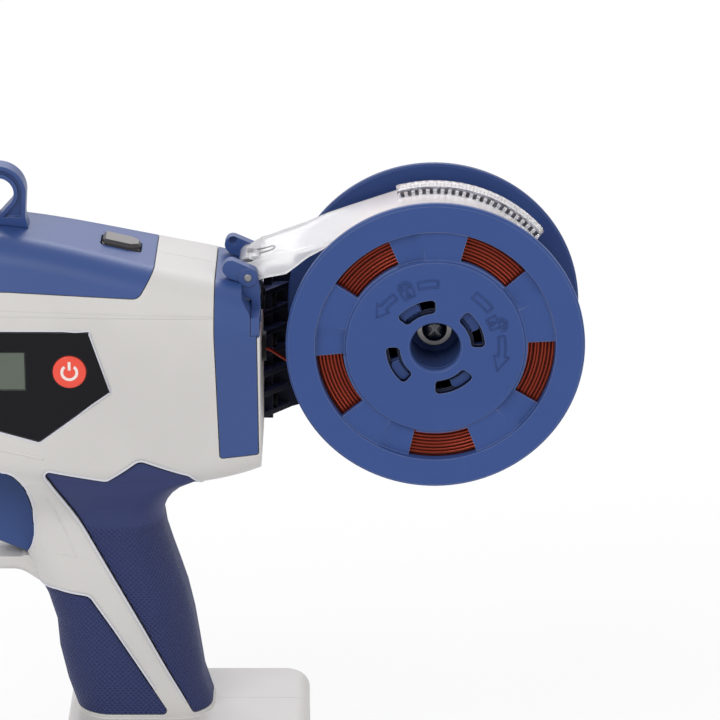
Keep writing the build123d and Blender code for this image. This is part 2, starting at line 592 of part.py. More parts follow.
def hanging_eye():
    """Flat ring with a drop-shaped hole, its leg flaring into the cover."""
    centre_z = EYE_TOP - EYE_HALF
    leg_half = EYE_HALF - 0.5
    leg = [(-EYE_HALF, centre_z, 0), (-leg_half, EYE_FOOT + 5.4, 3), (-EYE_HALF - EYE_FLARE, EYE_FOOT, 0)]
    leg += [(-x, z, radius) for x, z, radius in reversed(leg)]
    ring = Pos(EYE_X, centre_z) * Circle(EYE_HALF)
    profile = ring + outline([(EYE_X + x, z, radius) for x, z, radius in leg])
    low = math.degrees(math.asin(EYE_HOLE / (centre_z - EYE_TIP)))
    tangent = [polar(EYE_X, centre_z, EYE_HOLE, angle) for angle in (-low, 180 + low)]
    drop = make_face(Polyline((EYE_X, EYE_TIP), *tangent, close=True))
    drop += Pos(EYE_X, centre_z) * Circle(EYE_HOLE)
    eye = side_slab(profile - drop, -EYE_T / 2, EYE_T / 2)
    web = grow(profile, -EYE_RIM) - grow(drop, EYE_RIM)
    web -= Pos(EYE_X, EYE_BASE - WIDE / 2) * Rectangle(WIDE, WIDE)
    eye -= mirrored(side_slab(web, EYE_T / 2 - EYE_SINK, EYE_T))
    eye -= body_form(-SEAM)
    return eye + eye_shank(0)


# Trigger

def trigger():
    blade = side_slab(TRIGGER_FACE, -TRIGGER_HALF, TRIGGER_HALF)
    rims = [edge for edge in blade.edges() if abs(abs(edge.center().Y) - TRIGGER_HALF) < 0.01]
    blade = fillet(rims, TRIGGER_EDGE_R)
    return blade - along(TRIGGER_REAR - PLUNGER_SEAT, TRIGGER_REAR + 1, 0, TRIGGER_Z, PLUNGER_R + PRESS)


def trigger_switch():
    body = bar(SWITCH_FRONT, SWITCH_REAR, SWITCH_HALF, TRIGGER_Z - SWITCH_RISE, TRIGGER_Z + SWITCH_RISE)
    return body - along(SWITCH_FRONT - 1, SWITCH_FRONT + PLUNGER_BORE, 0, TRIGGER_Z, PLUNGER_R + RUN)


def switch_plunger():
    """Moves with the trigger and slides in the switch, which holds its return spring."""
    return along(TRIGGER_REAR - PLUNGER_SEAT, SWITCH_FRONT + PLUNGER_IN, 0, TRIGGER_Z, PLUNGER_R)


# Wound forms

def helix_path(radius, turns, pitch, start_angle, place):
    """Biarcs of half a turn each along a helix, with the given placing of its points."""
    slope = pitch / (2 * math.pi)
    begin = math.radians(start_angle)

    def point(turn):
        run = slope * (turn - begin)
        return place(radius * math.cos(turn), radius * math.sin(turn), run)

    def heading(turn):
        ahead, behind = point(turn + 1e-4), point(turn - 1e-4)
        return (ahead - behind).normalized()

    edges = []
    for half in range(round(2 * turns)):
        turn0 = begin + math.pi * half
        turn1 = turn0 + math.pi
        p0, p1, t0, t1 = point(turn0), point(turn1), heading(turn0), heading(turn1)
        chord, total = p1 - p0, t0 + t1
        spread = 2 * (1 - t0.dot(t1))
        along_chord = chord.dot(total)
        reach = (math.sqrt(along_chord ** 2 + spread * chord.dot(chord)) - along_chord) / spread
        knee0, knee1 = p0 + t0 * reach, p1 - t1 * reach
        middle = (knee0 + knee1) * 0.5
        edges.append(TangentArc(p0, middle, tangent=t0))
        edges.append(TangentArc(middle, p1, tangent=knee1 - knee0))
    return edges, point


def tube(edges, radius):
    path = Wire(edges)
    section = Plane(origin=path @ 0, z_dir=path % 0) * Circle(radius)
    return sweep(section, path=path)


def least_gap(point, turns, radius, start_angle):
    """Smallest space between neighbouring turns, measured on points."""
    first = math.radians(start_angle)
    steps = [first + math.pi * index / 12 for index in range(round(24 * turns))]
    places = [point(step) for step in steps]
    apart = [(places[i] - places[j]).length for i in range(0, len(places), 6)
             for j in range(i + 12, min(i + 40, len(places)))]
    return min(apart) - 2 * radius


# Spool

def spool_core():
    near = -SPOOL_WIDTH / 2 + FLANGE_T + CORE_GAP
    far = SPOOL_WIDTH / 2
    back = far - FLANGE_T
    core = turned([
        (AXLE_R + RUN, HUB_STEP_Y), (HUB_BORE, HUB_STEP_Y), (HUB_BORE, near), (DRUM_R, near),
        (DRUM_R, back), (FLANGE_R - FLANGE_EDGE, back), (FLANGE_R, back + FLANGE_EDGE),
        (FLANGE_R, far - FLANGE_EDGE), (FLANGE_R - FLANGE_EDGE, far), (HUB_END_R, far),
        (HUB_END_R, HUB_END_Y), (AXLE_R + RUN, HUB_END_Y),
    ])
    core -= turned([
        (HUB_BORE + HUB_WALL, near + HUB_WALL), (DRUM_R - DRUM_WALL, near + HUB_WALL),
        (DRUM_R - DRUM_WALL, back), (HUB_BORE + HUB_WALL, back),
    ])
    for index in range(WINDOWS):
        start = WINDOW_START + index * 360 / WINDOWS
        core -= sector(DISC_R + 0.5, RING_R, start, WINDOW_ANGLE, back - 1, far + 1)
    head_back = near - 2 * CORE_GAP - LEDGE_T
    for index in range(LUGS):
        start = index * 360 / LUGS + SLOT_ANGLE - LUG_ANGLE - 1.0
        core += sector(NECK_IN + SEAM, NECK_OUT - SEAM, start, LUG_ANGLE, head_back - 0.2, near + 0.5)
        core += rounded_sector(HEAD_IN, HEAD_OUT, start, LUG_ANGLE, head_back - HEAD_T, head_back)
        core -= sector(SLOT_IN, SLOT_OUT, index * 360 / LUGS, SLOT_ANGLE - LUG_ANGLE - 2.0, near - 0.1, near + 3)
    return core


def lock_flange():
    """Near flange with windows, held on the core's lugs by a part turn."""
    near = -SPOOL_WIDTH / 2
    back = near + FLANGE_T
    flange = turned([
        (HUB_BORE, back), (HUB_BORE, near + 0.6), (HUB_BORE + 0.6, near), (DISC_R - 0.7, near),
        (DISC_R, near + RING_DEPTH), (RING_R, near + RING_DEPTH), (RING_R + 0.3, near),
        (FLANGE_R - 0.8, near), (FLANGE_R, near + 0.8), (FLANGE_R, back - FLANGE_EDGE),
        (FLANGE_R - FLANGE_EDGE, back),
    ])
    for index in range(WINDOWS):
        start = WINDOW_START + index * 360 / WINDOWS
        flange -= sector(DISC_R + 0.5, RING_R, start, WINDOW_ANGLE, near - 1, back + 1)
        low = start - POCKET_ANGLE
        flange -= sector(DISC_R, RING_R, low, POCKET_ANGLE + 1, near - 1, near + POCKET_DEPTH)
        ramp = sector(DISC_R, RING_R, low - RAMP_ANGLE, RAMP_ANGLE + 0.2, near - 1, near + POCKET_DEPTH)
        flange -= ramp & ramp_space(low, near)
    entry = SLOT_ANGLE - LUG_ANGLE - 2.0
    for index in range(LUGS):
        start = index * 360 / LUGS
        flange -= rounded_sector(SLOT_IN, SLOT_OUT, start, SLOT_ANGLE, near - 1, back - LEDGE_T)
        flange -= sector(NECK_IN, NECK_OUT, start + 1, SLOT_ANGLE - 2, near - 1, back + 1)
        flange -= rounded_sector(SLOT_IN, SLOT_OUT, start + entry, LUG_ANGLE + 2.0, near - 1, back + 1)
    return flange


def ramp_space(angle, near):
    """Everything in front of the slope that climbs from a pocket to the ring's floor."""
    middle = (DISC_R + RING_R) / 2
    run = middle * math.radians(RAMP_ANGLE)
    rise = POCKET_DEPTH - RING_DEPTH
    slope = math.degrees(math.atan2(rise, run))
    size = 30.0
    foot_of_ramp = Pos(middle, near + POCKET_DEPTH, 0)
    tilted = foot_of_ramp * Rot(-slope, 0, 0) * Pos(0, -size / 2, 0)
    return Pos(SPOOL_X, 0, SPOOL_Z) * Rot(0, -angle, 0) * tilted * Box(size, size, size)


def wire_coil():
    """Inner layers, with the edge of each layer showing as a ridge at both ends."""
    end = SPOOL_WIDTH / 2 - FLANGE_T - 2 * CORE_GAP
    inner = DRUM_R + SEAT
    depth = COIL_R - 2 * WIRE_R - TOUCH - inner
    layers = round(depth / LAYER_PITCH)
    step = depth / layers
    edges = []
    for side in (-1, 1):
        for layer in range(layers):
            r0 = inner + layer * step
            base = side * (end - WIRE_R)
            edges.append(ThreePointArc((r0, base), (r0 + step / 2, side * end), (r0 + step, base)))
    for radius in (inner, inner + depth):
        edges.append(Line((radius, WIRE_R - end), (radius, end - WIRE_R)))
    return Pos(SPOOL_X, 0, SPOOL_Z) * revolve(make_face(edges), Axis.Y, 360)


def wire_outer_layer():
    """Outer layer of turns, one unbroken wire."""
    radius = COIL_R - WIRE_R
    width = COIL_TURNS * COIL_PITCH

    def place(a, b, run):
        return Vector(SPOOL_X + a, width / 2 - run, SPOOL_Z + b)

    edges, point = helix_path(radius, COIL_TURNS, COIL_PITCH, LEAVE_ANGLE, place)
    first, last = edges[0] @ 0, edges[-1] @ 1
    lead = (edges[0] % 0) * (2 * WIRE_R)
    tail = (edges[-1] % 1) * (2 * WIRE_R)
    edges = [Line(first - lead, first)] + edges + [Line(last, last + tail)]
    print("wire coil least gap", round(least_gap(point, COIL_TURNS, WIRE_R, LEAVE_ANGLE), 2))
    return tube(edges, WIRE_R)


def wire_way(start_x):
    """Points of the wire's way from the inlet to the level run through the body."""
    return [(start_x, 0, INLET_Z), (WIRE_DIP, 0, INLET_Z), (WIRE_LIFT, 0, WIRE_Z)]


def tie_wire():
    """Straight from the coil to the inlet, then along the guide tube to the nose."""
    leave = polar(SPOOL_X, SPOOL_Z, COIL_R + WIRE_R + LEAVE_GAP, LEAVE_ANGLE)
    route = [(leave[0], LEAVE_Y, leave[1])] + wire_way(BODY_REAR + 1.0) + [(WIRE_END, 0, WIRE_Z)]
    path = FilletPolyline(*route, radius=[MOUTH_BEND, WIRE_BEND, WIRE_BEND])
    return tube(path.edges(), WIRE_R)


# Spool bracket and axle

def plan_prism(points, low, height):
    """Plan view polygon raised from a level."""
    return extrude(Plane.XY.offset(low) * make_face(Polyline(*points, close=True)), height)


def spool_bracket():
    far = ARM_Y + ARM_T
    plate = outline([
        (ARM_BACK, ARM_LOW, 0), (ARM_KNEE, ARM_LOW + 6.4, 30), (SPOOL_X - 6, SPOOL_Z - 16, 0),
        (SPOOL_X - 6, SPOOL_Z + 16, 0), (ARM_KNEE, ARM_HIGH + 2.0, 30), (ARM_BACK, ARM_HIGH, 0),
    ])
    plate += Pos(SPOOL_X, SPOOL_Z) * Circle(ARM_EYE_R)
    arm = side_slab(plate, ARM_Y, far)
    pocket = grow(plate, -ARM_RIM) - Pos(SPOOL_X, SPOOL_Z) * Circle(ARM_BOSS_R)
    arm -= side_slab(pocket, ARM_Y + ARM_WEB, far + ARM_RIM)
    arm += block(ARM_BACK, ARM_BACK + BASE_T, ARM_Y - WEDGE_REACH, far, ARM_LOW, ARM_HIGH)
    for z in BRACKET_SCREW_Z:
        arm += block(ARM_BACK, ARM_BACK + BASE_T, BASE_Y, ARM_Y, z - BOSS_HALF, z + BOSS_HALF)
    wedge = [(ARM_BACK, ARM_Y - WEDGE_REACH), (ARM_BACK + WEDGE_REACH, ARM_Y), (ARM_BACK + WEDGE_REACH, far),
             (ARM_BACK, far)]
    arm += plan_prism(wedge, ARM_LOW, ARM_HIGH - ARM_LOW) & side_slab(plate, 0, far)
    fin = [(ARM_BACK, FIN_Y), (ARM_BACK + FIN_REACH, ARM_Y), (ARM_BACK + FIN_REACH, ARM_Y + 1),
           (ARM_BACK, ARM_Y + 1)]
    for index in range(FINS):
        arm += plan_prism(fin, FIN_LOW + index * FIN_STEP, FIN_T)
    arm -= across(SPOOL_X, SPOOL_Z, 0, WIDE, AXLE_R + PRESS)
    for z in BRACKET_SCREW_Z:
        arm -= along(ARM_BACK - 1, ARM_BACK + BASE_T, BRACKET_SCREW_Y, z, BRACKET_SCREW_R + SEAM)
        arm -= along(ARM_BACK + BASE_T, ARM_BACK + 2 * BASE_T, BRACKET_SCREW_Y, z, BRACKET_SCREW_R + 1.2)
    return arm


def bracket_screws():
    """Screws of the spool bracket and of the yoke, into the thick rear wall."""
    screws = []
    for y, z, shank, seat in REAR_SCREWS:
        head = along(seat, seat + shank, y, z, shank + 1.0)
        screws.append(head + along(BODY_REAR - REAR_SCREW_REACH, seat, y, z, shank))
    return Compound(children=screws)


def spool_axle():
    far = ARM_Y + ARM_T
    axle = across(SPOOL_X, SPOOL_Z, AXLE_END_Y, far + 4.0, AXLE_R)
    axle += across(SPOOL_X, SPOOL_Z, HUB_END_Y + SEAT, ARM_Y, AXLE_R + 2.5)
    nut = extrude(RegularPolygon(8.0, 6), 2.0, both=True)
    axle += Pos(SPOOL_X, far + 2.0, SPOOL_Z) * Rot(90, 0, 0) * nut
    return axle - across(SPOOL_X, SPOOL_Z, AXLE_END_Y - 1, AXLE_SCREW_END + 2, AXLE_SCREW_R + 0.05)


def axle_washer():
    disc = across(SPOOL_X, SPOOL_Z, AXLE_END_Y - WASHER_T, AXLE_END_Y, WASHER_R)
    return disc - across(SPOOL_X, SPOOL_Z, AXLE_END_Y - 2, 0, AXLE_SCREW_R + SEAT)


def axle_screw():
    seat = AXLE_END_Y - WASHER_T
    head = across(SPOOL_X, SPOOL_Z, seat - AXLE_HEAD_T, seat, AXLE_HEAD_R)
    head = fillet(head.edges().group_by(Axis.Y)[0], 1.4)
    for angle in (0, 90):
        head -= Pos(SPOOL_X, seat - AXLE_HEAD_T + 0.2, SPOOL_Z) * Rot(0, angle, 0) * Box(4.4, 1.8, 0.9)
    return head + across(SPOOL_X, SPOOL_Z, seat, AXLE_SCREW_END, AXLE_SCREW_R)


# Clear guard over the coil

def hinge_yoke():
    ear = side_slab(EAR_FACE, YOKE_HALF - EAR_T, YOKE_HALF)
    ear += across(PIN_X, PIN_Z, YOKE_HALF, YOKE_HALF + EAR_RIM, EAR_RIM_R)
    ear -= across(STOP_X, STOP_Z, YOKE_HALF - EAR_T - 1, YOKE_HALF - EAR_T + STOP_DEPTH, STOP_R)
    yoke = mirrored(ear) + bar(YOKE_SEAT, WEB_REAR, YOKE_HALF, WEB_LOW, WEB_HIGH)
    yoke += bar(YOKE_SEAT, WEB_REAR, WIDE, WEB_LOW, WING_HIGH) & body_form(INLAY)
    yoke -= across(PIN_X, PIN_Z, -WIDE, WIDE, PIN_R + PRESS)
    for y in (-YOKE_SCREW_Y, YOKE_SCREW_Y):
        yoke -= along(YOKE_SEAT - 1, WEB_REAR + 1, y, YOKE_SCREW_Z, YOKE_SCREW_R + SEAM)
    return yoke


def hinge_pin():
    end = YOKE_HALF + 0.7
    pin = across(PIN_X, PIN_Z, -end, end, PIN_R)
    return chamfer(pin.edges().filter_by(GeomType.CIRCLE), 0.25)


def guard_spring():
    """Torsion spring on the pin: one leg on the back of the yoke's web, one under the guard."""
    first_y = SPRING_Y0 + 0.3 + SPRING_WIRE

    def place(a, b, run):
        return Vector(PIN_X + a, first_y + run, PIN_Z + b)

    edges, point = helix_path(SPRING_R, SPRING_TURNS, SPRING_PITCH, 0, place)
    first, last = edges[0] @ 0, edges[-1] @ 1
    back = WEB_REAR + SPRING_WIRE + 0.05
    lower = FilletPolyline((back, first.Y, PIN_Z - 11.2), (back, first.Y, PIN_Z - 4.6),
                           (first.X, first.Y, PIN_Z - 2.4), first, radius=1.2)
    upper = FilletPolyline(last, (last.X, last.Y, last.Z + 2.0), (last.X + 9.5, last.Y, last.Z + 4.9),
                           radius=1.2)
    print("guard spring least gap", round(least_gap(point, SPRING_TURNS, SPRING_WIRE, 0), 2))
    return tube(lower.edges() + edges + upper.edges(), SPRING_WIRE)


def coil_guard():
    """Curved plate that runs straight from the coil's top down to the hinge, with side walls there."""
    inner = COIL_R + GUARD_GAP
    outer = inner + GUARD_PLATE
    middle = (GUARD_START + GUARD_END) / 2
    over = [polar(SPOOL_X, SPOOL_Z, outer, angle) for angle in (GUARD_START, middle, GUARD_END)]
    under = [polar(SPOOL_X, SPOOL_Z, inner, angle) for angle in (GUARD_START, middle, GUARD_END)]
    fall = math.tan(math.radians(GUARD_START - 90))
    root_o = (PIN_X, over[0][1] - fall * (over[0][0] - PIN_X))
    root_i = (PIN_X, under[0][1] - fall * (under[0][0] - PIN_X))
    profile = make_face([
        Line(root_o, over[0]), ThreePointArc(*over), Line(over[2], under[2]),
        ThreePointArc(*reversed(under)), Line(under[0], root_i), Line(root_i, root_o),
    ])
    cheek = make_face(Polyline(
        (PIN_X, PIN_Z - 3.2), (PIN_X + 12.8, PIN_Z + 0.4), (GUARD_SPREAD, PIN_Z + 12.8),
        (GUARD_SPREAD, root_o[1] + fall * (GUARD_SPREAD - PIN_X) - FREE), root_o, close=True))
    end = SPOOL_X + FLANGE_R
    left = [(PIN_X - 6, -GUARD_ROOT_HALF), (GUARD_NECK, -GUARD_ROOT_HALF), (GUARD_SPREAD, -GUARD_ARC_HALF),
            (end, -GUARD_ARC_HALF)]
    plan = plan_prism(left + [(x, -y) for x, y in reversed(left)], AXIS_Z, WIDE + FLANGE_R)
    room = [(GUARD_NECK - FREE, GUARD_WALL - GUARD_ROOT_HALF),
            (GUARD_SPREAD + FREE, GUARD_WALL - GUARD_ARC_HALF)]
    thin = plan_prism(room + [(x, -y) for x, y in reversed(room)], AXIS_Z, WIDE + FLANGE_R)
    walls = (through(cheek) & plan) - thin
    walls -= block(PIN_X - 6, GUARD_NECK, SPRING_Y0, SPRING_Y1, AXIS_Z, AXIS_Z + WIDE)
    guard = through(profile) & plan
    guard += walls + across(PIN_X, PIN_Z, -GUARD_ROOT_HALF, GUARD_ROOT_HALF, BARREL_R)
    guard += comb(outer)
    guard -= across(PIN_X, PIN_Z, -WIDE, WIDE, PIN_R + RUN)
    return guard - across(PIN_X, PIN_Z, SPRING_Y0, SPRING_Y1, SPRING_R + SPRING_WIRE + FREE)


def comb(radius):
    """Rounded bar on top of the guard for a thumb, with teeth cut into both of its sides."""
    top = radius + COMB_HEIGHT
    start = GUARD_END + 1.0
    length = GUARD_START - 1.0 - start
    rib = sector(radius - 0.6, top, start, length, -COMB_HALF, COMB_HALF)
    crest = [edge for edge in rib.edges() if abs(abs(edge.center().Y) - COMB_HALF) < 0.01
             and edge.geom_type == GeomType.CIRCLE and edge.radius > top - 0.01]
    rib = fillet(crest, COMB_R)
    step = length / (COMB_TEETH + 0.5)
    for index in range(COMB_TEETH):
        groove = sector(radius + COMB_FOOT, top - COMB_TOP, start + (index + 0.5) * step, step / 2,
                        COMB_HALF - COMB_GROOVE, COMB_HALF + 1)
        rib -= mirrored(groove)
    return rib


# Drive

def drive_motor():
    motor = along(MOTOR_FRONT, MOTOR_REAR, 0, AXIS_Z, MOTOR_R)
    motor = fillet(motor.edges().group_by(Axis.X)[-1], 2.0)
    return motor + along(MOTOR_REAR, MOTOR_REAR + 3, 0, AXIS_Z, 5)


def drive_gearbox():
    box = along(GEARBOX_FRONT, MOTOR_FRONT, 0, AXIS_Z, GEARBOX_R)
    return chamfer(box.edges().group_by(Axis.X)[0], 1.5)


def twister_shaft():
    return along(SHAFT_END, GEARBOX_FRONT - SEAT, 0, AXIS_Z, SHAFT_R)


def twister_bearing():
    ring = along(BEARING_FRONT, BEARING_REAR, 0, AXIS_Z, BEARING_R)
    return ring - along(BEARING_FRONT - 2, BEARING_REAR + 2, 0, AXIS_Z, SHAFT_R + RUN)


def twister_head():
    head = along(TWIST_HEAD_END, SHAFT_END, 0, AXIS_Z, TWIST_HEAD_R)
    head = chamfer(head.edges().group_by(Axis.X)[0], 1.5)
    return head - bar(TWIST_HEAD_END - 2, TWIST_HEAD_END + TWIST_SLOT_DEPTH, TWIST_SLOT,
                      AXIS_Z - TWIST_HEAD_R - 2, AXIS_Z + TWIST_HEAD_R + 2)


def feed_frame():
    low, high = WIRE_Z - 13, WIRE_Z + 13
    frame = mirrored(block(FRAME_FRONT, FRAME_REAR, FRAME_IN, FRAME_OUT, low, high))
    frame += bar(FRAME_REAR - 3, FRAME_REAR, FRAME_IN + 1, low, low + 3)
    for z in (DRIVEN_Z, IDLER_Z):
        frame -= across(ROLLER_X, z, -WIDE, WIDE, ROLLER_PIN_R + RUN)
    return frame


def feed_roller():
    roller = across(ROLLER_X, DRIVEN_Z, -ROLLER_HALF, ROLLER_HALF, ROLLER_R)
    return roller + across(ROLLER_X, DRIVEN_Z, -ROLLER_PIN_HALF, ROLLER_PIN_HALF, ROLLER_PIN_R)


def idler_roller():
    roller = across(ROLLER_X, IDLER_Z, -ROLLER_HALF, ROLLER_HALF, ROLLER_R)
    return roller - across(ROLLER_X, IDLER_Z, -WIDE, WIDE, ROLLER_PIN_R + RUN)


def idler_pin():
    return across(ROLLER_X, IDLER_Z, -ROLLER_PIN_HALF, ROLLER_PIN_HALF, ROLLER_PIN_R)


def feed_motor():
    motor = across(ROLLER_X, DRIVEN_Z, FEED_MOTOR_IN, FEED_MOTOR_OUT, FEED_MOTOR_R)
    motor = fillet(motor.edges().group_by(Axis.Y)[-1], 1.2)
    return motor + across(ROLLER_X, DRIVEN_Z - FEED_MOTOR_R - 1.4, FRAME_OUT, FEED_MOTOR_IN + 1.8, 3.0)


def wire_inlet():
    bush = along(BODY_REAR - REAR_WALL, BODY_REAR + TOUCH, 0, INLET_Z, INLET_R)
    bush += along(BODY_REAR + 0.05, BODY_REAR + INLET_RIM, 0, INLET_Z, INLET_RIM_R)
    bush -= along(BODY_REAR - REAR_WALL - 1, BODY_REAR + 3, 0, INLET_Z, INLET_BORE)
    mouth = Cone(INLET_BORE - 0.2, INLET_RIM_R - 0.8, 4.6)
    return bush - Pos(BODY_REAR - 0.5, 0, INLET_Z) * Rot(0, 90, 0) * mouth


def wire_guide_tube():
    """Bent tube from the inlet to the rollers, and a straight one from there to the nose."""
    bend = FilletPolyline(*wire_way(TUBE_REAR), (ROLLER_X + 8.5, 0, WIRE_Z), radius=WIRE_BEND)
    rear = tube(bend.edges(), TUBE_R) - tube(bend.edges(), TUBE_BORE)
    front = along(WIRE_END + 2, ROLLER_X - 6, 0, WIRE_Z, TUBE_R)
    front -= along(WIRE_END - 2, ROLLER_X, 0, WIRE_Z, TUBE_BORE)
    return Compound(children=[rear, front])


# Hook, jaws and nose

def hook_actuator():
    body = along(ACTUATOR_FRONT, ACTUATOR_REAR, 0, ACTUATOR_Z, ACTUATOR_R)
    return body - along(ACTUATOR_FRONT - 1, ACTUATOR_FRONT + ACTUATOR_BORE, 0, ACTUATOR_Z, ROD_R + RUN)


def lever_point(swing):
    """Centre of the lever's pin, swing in degrees from the open position."""
    return polar(HOOK_X, HOOK_Z, LEVER, 90 - HOOK_SWING / 2 + swing)


def hook_push_rod():
    """Rod with a fork at its end, slotted for the lever's pin."""
    x, z = lever_point(0)
    gap = HOOK_HALF + 0.4
    rod = bar(x - FORK_FRONT, x + FORK_REAR, FORK_HALF, z - 2.6, z + 3.2)
    rod -= bar(x - FORK_FRONT - 1, x + FORK_GAP, gap, z - 9, z + 9)
    rod -= bar(x + FORK_GAP - 1, x + FORK_REAR + 1, gap, z - 9, ACTUATOR_Z - ROD_R)
    rod -= bar(x - 1.5, x + 1.5, FORK_HALF + 1, z - 1.6, z + 2.2)
    return rod + along(x + FORK_GAP, ACTUATOR_FRONT + ROD_IN, 0, ACTUATOR_Z, ROD_R)


def hook_pin():
    return across(HOOK_X, HOOK_Z, -HOOK_PIN_HALF, HOOK_PIN_HALF, HOOK_PIN_R)


def binding_hook():
    """Swinging hook drawn closed round the jaw's centre, then opened to its rest position."""
    bar_out, bar_in = JAW_R + JAW_BAR / 2, JAW_R - JAW_BAR / 2
    high, low = 100.0, 222.0
    arc = ring_face(JAW_X, JAW_Z, bar_in, bar_out, high, low)
    arm = make_face(Polyline(
        (HOOK_X - 1, HOOK_Z + HOOK_HUB_R - 0.2), polar(JAW_X, JAW_Z, bar_out, high),
        polar(JAW_X, JAW_Z, bar_out, high + 12), polar(JAW_X, JAW_Z, bar_in, high + 12),
        polar(JAW_X, JAW_Z, bar_in, high), (HOOK_X + 1, HOOK_Z - HOOK_HUB_R + 0.2), close=True))
    profile = arc + arm + Pos(HOOK_X, HOOK_Z) * Circle(HOOK_HUB_R)
    x, z = lever_point(HOOK_SWING)
    profile += make_face(Polyline((HOOK_X - 3.6, HOOK_Z + 1), (x - LEVER_R, z), (x + LEVER_R, z),
                                  (HOOK_X + 3.6, HOOK_Z), close=True))
    profile += Pos(x, z) * Circle(LEVER_R)
    hook = side_slab(profile, -HOOK_HALF, HOOK_HALF)
    hook += across(x, z, -LEVER_PIN_HALF, LEVER_PIN_HALF, LEVER_PIN_R)
    hook -= across(HOOK_X, HOOK_Z, -WIDE, WIDE, HOOK_PIN_R + RUN)
    middle = (high + low) / 2
    groove = ring_face(JAW_X, JAW_Z, bar_in - 1, bar_in + 2 * WIRE_R, middle - 50, middle + 50)
    hook -= side_slab(groove, -WIRE_R - 0.3, WIRE_R + 0.3)
    turn = Pos(HOOK_X, 0, HOOK_Z) * Rot(0, HOOK_SWING, 0) * Pos(-HOOK_X, 0, -HOOK_Z)
    return turn * hook


def lower_jaw():
    """Fixed jaw, split for the hook's point, on a tang in the nose."""
    bar_out, bar_in = JAW_R + JAW_BAR / 2 + 1.0, JAW_R - JAW_BAR / 2 + 0.5
    arc = ring_face(JAW_X, JAW_Z, bar_in, bar_out, 206.0, 305.0)
    tang = outline([(JAW_X + 5, TANG_LOW, 0), (TANG_REAR, TANG_LOW + 2, 2), (TANG_REAR, TANG_HIGH, 1),
                    (NOSE_FRONT, TANG_HIGH, 0)])
    jaw = side_slab(arc + tang, -JAW_HALF, JAW_HALF)
    return jaw - bar(JAW_X - 39, JAW_X + 4, HOOK_HALF + 0.6, JAW_Z - 39, JAW_Z + 11)


def nose_section(x, half, low, high, radius):
    face = Pos(0, AXIS_Z + (low + high) / 2) * RectangleRounded(2 * half, high - low, radius)
    return Plane.YZ.offset(x) * face


def nose_housing():
    nose = loft([
        nose_section(BODY_FRONT - 0.05, 21.0, -15.6, 44.0, 10),
        nose_section(HOOK_X, 17.5, -14.5, 40.6, 9),
        nose_section(NOSE_FRONT, 12.5, -12.0, 34.0, 7),
    ])
    front, rear = NOSE_FRONT - 10, BODY_FRONT + 8
    nose -= along(front, rear, 0, AXIS_Z, TWIST_HEAD_R + FREE)
    nose -= along(WIRE_END + 1.8, rear, 0, WIRE_Z, TUBE_R + SEAM)
    nose -= along(front, rear, 0, WIRE_Z, WIRE_R + 0.3)
    nose -= bar(front, BODY_FRONT + 2, HOOK_HALF + FREE, HOOK_Z - HOOK_HUB_R - 1.7, AXIS_Z + WIDE)
    nose -= bar(NOSE_FRONT - 2, BODY_FRONT + 2, FORK_HALF + 1.2, ACTUATOR_Z - 6, AXIS_Z + WIDE)
    nose -= across(HOOK_X, HOOK_Z, -HOOK_PIN_HALF - 0.05, HOOK_PIN_HALF + 0.05, HOOK_PIN_R + PRESS)
    nose -= bar(NOSE_FRONT - 6, TANG_REAR + SEAT, JAW_HALF + SEAM, TANG_LOW - FREE, TANG_HIGH + SEAT)
    for y, z in NOSE_SCREWS:
        nose -= along(NOSE_SEAT - 1, rear, y, z, NOSE_SCREW_R + SEAM)
        nose -= along(front, NOSE_SEAT, y, z, NOSE_HEAD_R + SEAM)
    return nose


def nose_screws():
    screws = []
    for y, z in NOSE_SCREWS:
        head = along(NOSE_SEAT - NOSE_HEAD_T, NOSE_SEAT, y, z, NOSE_HEAD_R)
        screws.append(head + along(NOSE_SEAT, NOSE_SEAT + NOSE_SCREW, y, z, NOSE_SCREW_R))
    return Compound(children=screws)


def cutter_blade():
    return block(NOSE_FRONT - TOUCH - CUTTER_T, NOSE_FRONT - TOUCH, CUTTER_IN, CUTTER_OUT,
                 CUTTER_LOW, CUTTER_HIGH)


# Foot and battery

def terminal_space():
    return bar(RAIL_REAR, RAIL_REAR + TERMINAL_DEPTH, TERMINAL_HALF, RAIL_STEP, RAIL_TOP + SEAT)


def terminal_block():
    body = bar(RAIL_REAR + FREE, RAIL_REAR + TERMINAL_DEPTH, TERMINAL_HALF, RAIL_STEP, RAIL_TOP)
    for y in CONTACT_Y:
        body += block(RAIL_REAR - CONTACT_LENGTH, RAIL_REAR + 1, y - CONTACT_HALF, y + CONTACT_HALF,
                      RAIL_STEP + CONTACT_EDGE, RAIL_TOP - CONTACT_EDGE)
    return body


def pack_plan(inset):
    return RectangleRounded(PACK_LENGTH - 2 * inset, PACK_WIDTH - 2 * inset, PACK_R - inset)


def battery_case():
    case = extrude(pack_plan(0), LID_Z)
    case = fillet(case.edges().group_by(Axis.Z)[0], PACK_EDGE_R)
    return case - extrude(Plane.XY.offset(PACK_WALL) * pack_plan(PACK_WALL), LID_Z)


